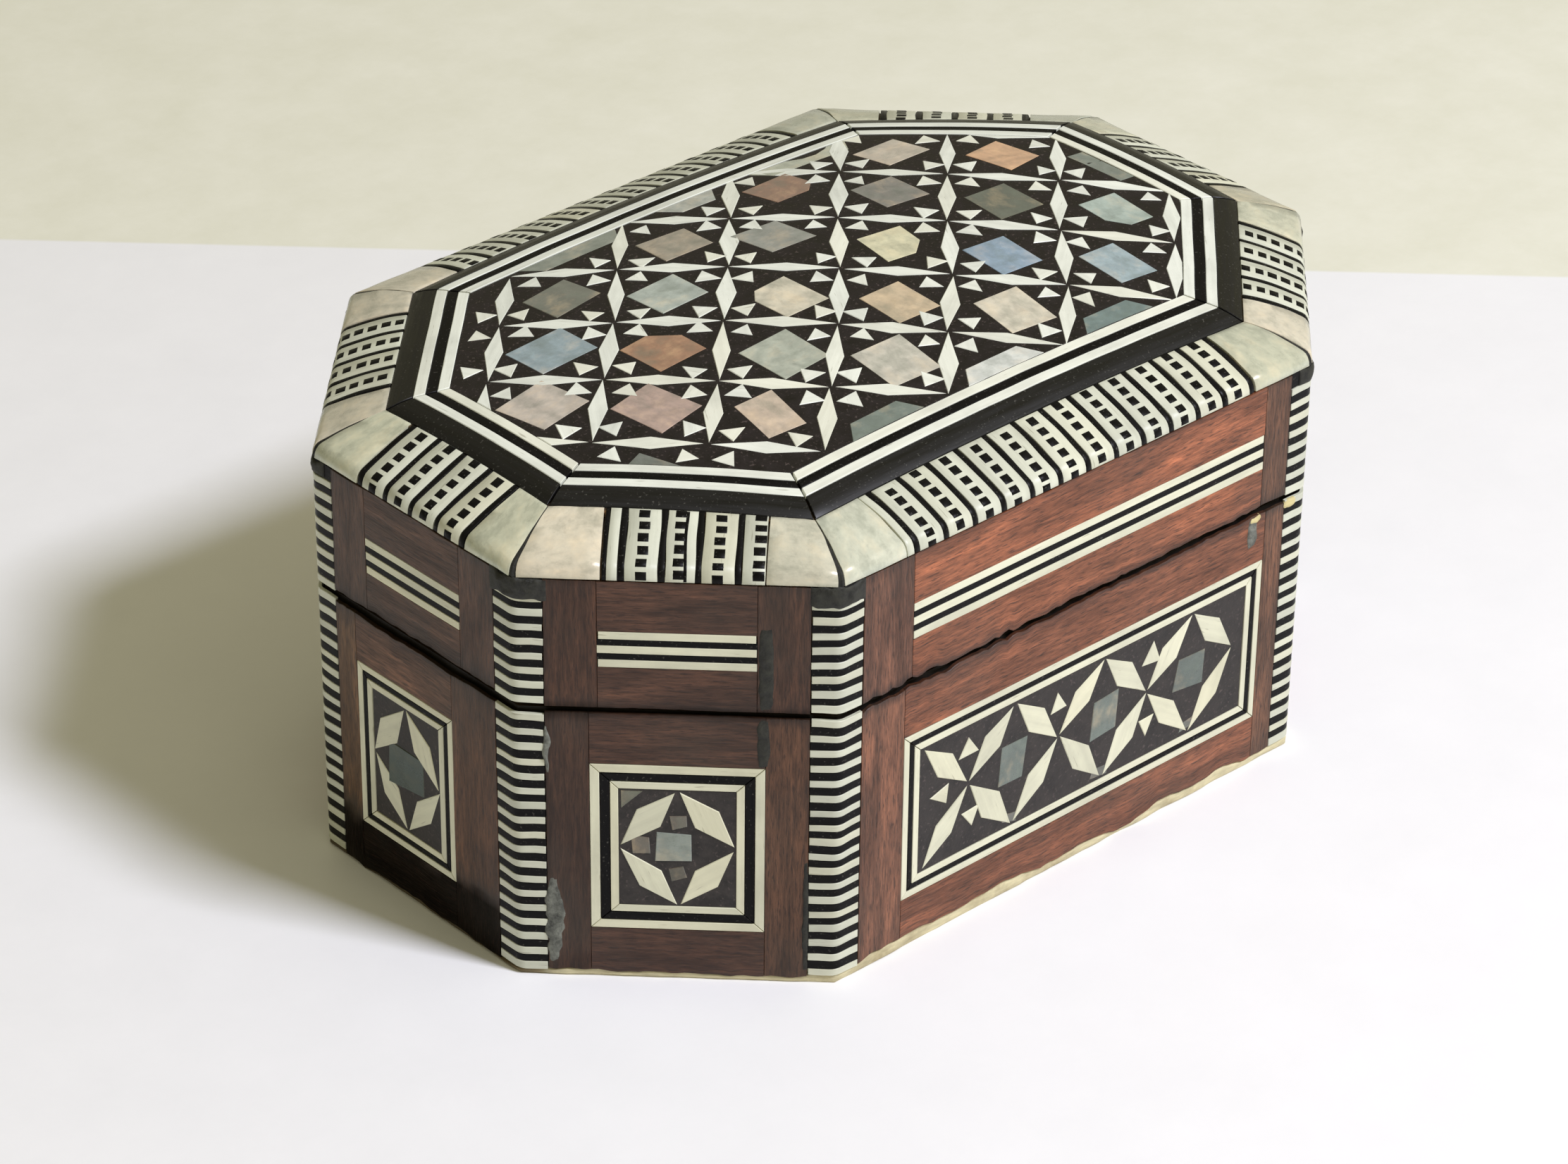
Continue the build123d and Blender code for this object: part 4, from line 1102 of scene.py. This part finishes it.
def strips(facet):
    """What lies along the middle of a side of the bevel, from left to right, with widths."""
    if facet.index == FRONT_LEFT:
        return (("line", 0.6), ("bone", 1.4), ("line", 1.0), ("ladder", LADDER), ("line", 0.9),
                ("joined", 3.9), ("line", 0.9), ("ladder", LADDER), ("line", 0.9), ("half", 3.0))
    count = 12 if facet.is_long else 4
    lead = (("bone", 1.2), ("line", BLACK_LINE)) if facet.index == FRONT else (("line", BLACK_LINE),)
    return lead + (("ladder", LADDER), ("line", BLACK_LINE)) * count


def bevel():
    pearl, filler, bone, squares, lines = pieces = (
        Builder("bevel_pearl", PEARL_RIM, "lid_bevel_pearl", smooth=50),
        Builder("bevel_filler", PUTTY, "lid_bevel_mitres", smooth=50),
        Builder("bevel_ladders", BONE, "lid_bevel_ladders", smooth=50),
        Builder("bevel_squares", BLACK, "lid_bevel_squares", smooth=50),
        Builder("bevel_lines", BLACK, "lid_bevel_lines", smooth=50),
    )
    for facet in FACETS:
        layout = strips(facet)
        run = sum(width for kind, width in layout)
        offset = 0.8 if facet.index == FRONT_LEFT else 0.0
        u = offset - run / 2
        pearl_patch(pearl, filler, facet, -1, u)
        for kind, width in layout:
            if kind == "line":
                slope(lines, facet, u + 0.02, u + width - 0.02, SLOPE_LOW, SLOPE_HIGH, -0.03, dyed(JET))
            elif kind == "bone":
                slope(bone, facet, u, u + width, SLOPE_LOW, SLOPE_HIGH, 0.0, dyed(BONE_RIM))
            else:
                ladder(bone, squares, facet, u, width, *SQUARES_AT[kind])
            if kind == "joined":
                slope(squares, facet, u + 2.3, u + 2.8, 2 * SLOPE_LOW, SLOPE_HIGH - 0.1, 0.02, dyed(JET))
            u += width
        pearl_patch(pearl, filler, facet, 1, offset + run / 2)
    build_all(*pieces)


# ---- crowned top

JOINT = 0.17  # half the dark joint where two strips meet at a corner


def ring_strip(builder, facet, outer, inner, h, colour):
    """Mitred strip of the top along one side, between two insets."""
    reach = facet.length / 2 - outer * HALF_TURN - JOINT

    def place(u, d, height):
        far = facet.length / 2 - d * HALF_TURN - JOINT
        straight = d + drift(u * 0.12, facet.index, 8, 0.1)
        return on_top(*facet.point(u * far / reach, straight), height)

    depths = [outer + 0.03, (outer + inner) / 2, inner - 0.03]
    builder.sheet(stations(-reach, reach, 3.0), depths, place, h, 0.6, colour=colour)


def octagon_sheet(builder, inset, surface, h, thick, step, ease=EASE, under=False, colour=GREY):
    """Sheet over the octagon at an inset; surface(x, y) is its height, and under makes it face down."""
    reach_x, reach_y = HALF_LENGTH - inset, HALF_WIDTH - inset
    leg = CORNER_LEG - (2 - sqrt(2)) * inset
    sign = -1 if under else 1

    def place(x, v, height):
        y = v * min(1.0, (reach_x + reach_y - leg - abs(x)) / reach_y)
        return (sign * x, y, surface(x, y) + sign * height)

    corner = reach_x - leg
    xs = stations(-reach_x, -corner, step)[:-1] + stations(-corner, corner, step)
    xs += stations(corner, reach_x, step)[1:]
    builder.sheet(xs, stations(-reach_y, reach_y, step), place, h, thick, ease=ease, colour=colour)


PEARL_TILES = {  # cell: display colour, width, height, turn in degrees, lean
    (-3, 2): (112, 110, 98, 8.6, 7.2, 6, 0.5), (-1, 2): (160, 148, 130, 8.6, 7.0, -3, 0.2),
    (1, 2): (144, 105, 84, 9.0, 7.0, 2, -0.6), (3, 2): (203, 190, 172, 8.4, 7.0, 4, -0.5),
    (-4, 1): (146, 163, 170, 10.0, 8.2, 2, 0.4), (-2, 1): (176, 184, 174, 9.0, 7.7, 2, 0.2),
    (0, 1): (148, 147, 138, 8.2, 8.2, -4, -1.1), (2, 1): (128, 122, 115, 8.0, 8.3, -3, -0.2),
    (4, 1): (212, 167, 128, 7.4, 8.3, 8, -0.2), (-5, 0): (194, 182, 169, 9.4, 9.0, 8, 0.2),
    (-3, 0): (158, 114, 85, 8.9, 8.6, 4, 0.2), (-1, 0): (214, 205, 182, 8.2, 9.0, 2, 0.2),
    (1, 0): (222, 216, 180, 8.0, 8.2, -6, 0.2), (3, 0): (89, 89, 75, 8.4, 8.8, 0, 0.6),
    (5, 0): (122, 128, 118, 8.0, 11.0, 0, 0.0), (-4, -1): (176, 150, 138, 8.8, 9.8, 11, 0.4),
    (-2, -1): (176, 180, 164, 9.3, 9.6, 3, 0.2), (0, -1): (202, 180, 148, 8.2, 9.0, 1, 0.2),
    (2, -1): (140, 162, 182, 8.0, 8.8, -2, 0.2), (4, -1): (172, 186, 176, 7.4, 9.2, -2, 0.3),
    (-5, -2): (106, 108, 102, 9.0, 8.0, 20, 0.0), (-3, -2): (203, 183, 162, 6.6, 9.4, -2, 1.3),
    (-1, -2): (202, 196, 180, 9.6, 10.0, -2, 0.3), (1, -2): (214, 205, 184, 8.8, 9.6, -3, 0.4),
    (3, -2): (158, 176, 182, 7.8, 9.4, 0, 0.1),
}
PEARL_ENDS = {  # pieces against the border: column, side, display colour, half width at the border
    (-2, 1): (138, 142, 130, 9.0), (0, 1): (178, 180, 170, 5.4), (2, 1): (186, 188, 168, 9.5),
    (-2, -1): (112, 122, 114, 6.6), (0, -1): (214, 216, 208, 7.2), (2, -1): (106, 124, 122, 6.6),
}
TILE_SLIDE = {  # tiles set off-centre
    (0, 1): (-0.1, 2.2), (2, 1): (0.6, 1.3), (1, 2): (1.0, 1.8), (-5, 0): (0.9, 1.2), (-1, 0): (0, -1.2),
    (-2, -1): (0.7, -1.3), (0, -1): (0.3, -1.2), (2, -1): (-0.8, -0.3), (-4, -1): (0.5, 0.8),
    (1, -2): (0, -0.8), (-1, -2): (0, -0.8),
}
TILE_FIT, TILE_FIT_PER_ROW = 0.97, 0.015  # tiles nearer the front are cut smaller
CUT_CORNERS = {  # cell: which corner, and the share of its sides
    (-3, 0): (2, 0.42), (-1, 0): (3, 0.25), (1, 0): (1, 0.35), (1, 2): (1, 0.3), (4, -1): (0, 0.35),
}


def cut_corner(outline, corner, share):
    """The outline with one corner cut away, by a share of the sides there."""
    before, here, after = outline[corner - 1], outline[corner], outline[(corner + 1) % len(outline)]
    cuts = [tuple(p + (q - p) * share for p, q in zip(here, other)) for other in (before, after)]
    return outline[:corner] + cuts + outline[corner + 1:]


def lattice_point(i, j):
    x, y = (LATTICE_CENTRE[k] + (i, j)[k] * LATTICE_PITCH[k] for k in (0, 1))
    return (x, y + max(-30, min(30, x)) * (LATTICE_TILT + LATTICE_FAN * j))


def mosaic():
    """Bone rhombi, triangles and shell, set in dark ground that follows the crown."""
    ground, rhombi, small, pearl = pieces = (
        Builder("top_ground", MOSAIC, "lid_mosaic_ground", smooth=40),
        Builder("top_rhombi", BONE, "lid_mosaic_rhombi"),
        Builder("top_triangles", BONE, "lid_mosaic_triangles"),
        Builder("top_pearl", PEARL, "lid_mosaic_pearl"),
    )
    octagon_sheet(ground, FIELD_INSET + 0.04, crown, -0.1, 0.6, 2.5, colour=GROUND_TOP)
    edge = octagon(FIELD_INSET + 0.08)
    shake = {(i, j): (wobble(0.3), wobble(0.3)) for i in range(-7, 9) for j in range(-5, 7)}

    def node(i, j):
        x, y = lattice_point(i, j)
        return (x + shake[i, j][0], y + shake[i, j][1])

    def clipped(builder, full, least):
        """Bone piece cut at the border, left out when too little of it remains."""
        part = clip(full, edge)
        if len(part) > 2 and area(part) > least * area(full):
            inlaid(builder, part, on_top, colour=dyed(BONE_TOP))

    for i, j in ((i, j) for i in range(-6, 7) for j in range(-4, 5) if (i + j) % 2 == 0):
        here = node(i, j)
        for dj in (-1, 1):
            clipped(rhombi, rhombus(here, node(i + 1, j + dj), 2.7, 0.25), 0.3)
        for direction in ((1, 0), (0, 1), (-1, 0), (0, -1)):
            clipped(small, arrow(here, direction, 3.1, 3.1, 3.45), 0.98)
    for cell, (red, green, blue, wide, tall, turn, lean) in PEARL_TILES.items():
        fit = TILE_FIT + TILE_FIT_PER_ROW * cell[1]
        x, y = (a + b for a, b in zip(node(*cell), TILE_SLIDE.get(cell, (0, 0))))
        outline = quad((x, y), wide * fit, tall * fit, radians(turn), lean / 2)
        if cell in CUT_CORNERS:
            outline = cut_corner(outline, *CUT_CORNERS[cell])
        inlaid(pearl, clip(outline, edge), on_top, -0.02, colour=shade(red, green, blue))
    for (i, side), (red, green, blue, half) in PEARL_ENDS.items():
        x = lattice_point(i, 0)[0]
        y = side * (HALF_WIDTH - FIELD_INSET - 0.1)
        near, far = y - side * 3.2, y - side * 3.4
        outline = [(x - half, y), (x + half, y), (x + half - 2.2, far), (x - half + 2.4, near)]
        outline = outline if side < 0 else outline[::-1]
        inlaid(pearl, clip(outline, edge), on_top, -0.03, colour=shade(red, green, blue))
    build_all(*pieces)


def top_frame():
    """Ebony band, and bone, ebony and bone lines inside it."""
    band, bone, ebony = pieces = (
        Builder("top_band", BAND, "lid_border_band"),
        Builder("top_stringing_bone", BONE, "lid_stringing_bone"),
        Builder("top_stringing_ebony", BLACK, "lid_stringing_ebony"),
    )
    first = STRING_INSET + BONE_LINE
    second = first + EBONY_LINE
    for facet in FACETS:
        ring_strip(band, facet, BEVEL_WIDTH, STRING_INSET, 0.0, dyed(EBONY))
        ring_strip(bone, facet, STRING_INSET, first, 0.03, dyed(BONE_TOP))
        ring_strip(ebony, facet, first, second, -0.02, dyed(JET))
        ring_strip(bone, facet, second, FIELD_INSET, 0.02, dyed(BONE_TOP))
    build_all(*pieces)


# ---- velvet

LINING_INSET = 6.1
PAD_EDGE = 7.0  # over this distance a pad rises to its full height


def crest(x, y):
    """Swell of a pad: full in the middle, falling away near its edge."""
    share = min(1.0, (inset_at(x, y) - LINING_INSET) / PAD_EDGE)
    return 1 - (1 - max(0.0, share)) ** 3


def velvet():
    """Padded floor, padded lid and velvet-covered walls."""
    floor_high, roof_low = node_box("base_floor_velvet")[1][2], node_box("lid_top_velvet")[0][2]

    def swell(x, y):
        return floor_high - 1.0 + 1.3 * crest(x, y) + drift(x * 0.08, y * 0.08, 30, 0.25)

    def sag(x, y):
        return roof_low + 1.0 - 1.2 * crest(x, y) - drift(x * 0.08, y * 0.08, 31, 0.25)

    pad = Builder("velvet_floor_pad", VELVET, "base_floor_velvet", smooth=80)
    octagon_sheet(pad, LINING_INSET, swell, 0.0, 0.4, 2.5, ease=0.3)
    pad.build()
    ceiling = Builder("velvet_lid_pad", VELVET, "lid_top_velvet", smooth=80)
    octagon_sheet(ceiling, LINING_INSET, sag, 0.0, 0.4, 2.5, ease=0.3, under=True)
    ceiling.build()
    for body in ("base", "lid"):
        cad = body + "_wall_velvet"
        walls = Builder("velvet_" + body + "_walls", VELVET, cad, smooth=80)
        low, high = node_box(cad)[0][2], node_box(cad)[1][2]
        for facet in FACETS:
            half = facet.length / 2 - (LINING_INSET + 0.7) * HALF_TURN

            def place(u, z, h, f=facet, limit=half, low=low, high=high):
                end = max(0.0, 1 - (abs(u) / limit) ** 6)
                rise = max(0.0, 1 - abs(2 * (z - low) / (high - low) - 1) ** 6)
                puff = 0.7 * end * rise + drift(u * 0.1, z * 0.1, f.index, 0.12)
                x, y = f.point(-u, LINING_INSET + 0.45 + puff + h)
                return (x, y, z)

            walls.sheet(stations(-half, half, 2.5), stations(low, high, 2.0), place, 0.0, 0.35, ease=0.25)
        walls.build()


# ---- pieces of the frame that show


def soften(node, material, width):
    """Finish of a CAD node: its material, and edges eased by a bevel."""
    node.data.materials.clear()
    node.data.materials.append(material)
    if width:
        ease = node.modifiers.new("eased_edges", "BEVEL")
        ease.width = width * MM
        ease.segments = 2
        ease.limit_method = "ANGLE"
        ease.angle_limit = radians(40)
        ease.harden_normals = True


def frame_finish():
    for name, node in NODES.items():
        if name.startswith("hinge_"):
            soften(node, BRASS, 0.12)
        elif name.startswith(("base_wall_", "lid_rim_", "lid_top_board")) and "velvet" not in name:
            soften(node, BOARD, 0.25)


foot_board()
side_veneers()
posts()
fillers()
side_panels()
rim_lines()
bevel()
mosaic()
top_frame()
velvet()
frame_finish()


# ---- table, light and camera

AZIMUTH, ELEVATION, ROLL = radians(-42.7), radians(31.49), radians(0.58)
TARGET = Vector((-21.0, -14.5, 37.5)) * MM
DISTANCE = 731 * MM
TOWARDS_KEY = Vector((0.178, -0.589, 0.788))
TOWARDS_FILL = (0.5, -0.4, 0.77)
TABLE_HALF = 4.0
TABLE_END = 0.141  # how far behind the box the white top ends
TABLE_SKEW = radians(1.7)


def table_look():
    """White table top that ends, well behind the box, in a cream ground."""
    look = Look("table_top", Specular_IOR_Level=0.2)
    skew = AZIMUTH - TABLE_SKEW
    away = Vector((-sin(skew), cos(skew), 0))
    where = look.add("TexCoord", {}, "Object")
    depth = look.add("VectorMath", {0: where, 1: away}, "Value", operation="DOT_PRODUCT")
    behind = look.remap(depth, TABLE_END - 0.0004, TABLE_END + 0.0004)
    mottle = look.noise(where, 60.0, 6.0, 0.7)
    cream = look.mix(look.spread(mottle), shade(237, 236, 218), shade(245, 244, 229))
    white = look.mix(look.spread(mottle), shade(248, 248, 250), shade(252, 252, 254))
    return look.finish(look.mix(behind, white, cream), 0.7)


def lay_table():
    mesh = bpy.data.meshes.new("table")
    corners = [(x * TABLE_HALF, y * TABLE_HALF, 0) for x, y in ((-1, -1), (1, -1), (1, 1), (-1, 1))]
    mesh.from_pydata(corners, [], [(0, 1, 2, 3)])
    mesh.materials.append(table_look())
    table = bpy.data.objects.new("table", mesh)
    bpy.context.scene.collection.objects.link(table)


def key_light():
    """Soft square light that looks at the box."""
    light = bpy.data.lights.new("key", "AREA")
    light.energy = 15.5
    light.size = 0.24
    light.color = (0.86, 0.87, 1.0)
    lamp = bpy.data.objects.new("key", light)
    lamp.location = TOWARDS_KEY.normalized() * 1.3
    lamp.rotation_euler = TOWARDS_KEY.to_track_quat("Z", "Y").to_euler()
    bpy.context.scene.collection.objects.link(lamp)


def studio():
    """Warm soft light from all round, brighter from the upper front right."""
    world = bpy.data.worlds.new("studio")
    sky = Tree(world, "Background")
    where = sky.add("TexCoord", {}, "Generated")
    facing = sky.add("VectorMath", {0: where, 1: TOWARDS_FILL}, "Value", operation="DOT_PRODUCT")
    strength = sky.remap(facing, -1.0, 1.0, 0.09, 0.42)
    sky.feed(sky.shader, {"Strength": strength, "Color": (1.0, 0.93, 0.6, 1.0)})
    bpy.context.scene.world = world


def aim_camera():
    """Looks down on the box from the front left, a touch out of level like the photographer."""
    back = Vector((sin(AZIMUTH) * cos(ELEVATION), -cos(AZIMUTH) * cos(ELEVATION), sin(ELEVATION)))
    right = (-back).cross(Vector((0, 0, 1))).normalized()
    up = right.cross(-back)
    across = right * cos(ROLL) + up * sin(ROLL)
    upright = up * cos(ROLL) - right * sin(ROLL)
    lens = bpy.data.cameras.new("camera")
    lens.lens = 121.0
    lens.sensor_width = 36.0
    camera = bpy.data.objects.new("camera", lens)
    turn = Matrix((across, upright, back)).transposed().to_4x4()
    camera.matrix_world = Matrix.Translation(TARGET + back * DISTANCE) @ turn
    bpy.context.scene.collection.objects.link(camera)
    bpy.context.scene.camera = camera


lay_table()
key_light()
studio()
aim_camera()
bpy.context.scene.view_settings.view_transform = "Standard"
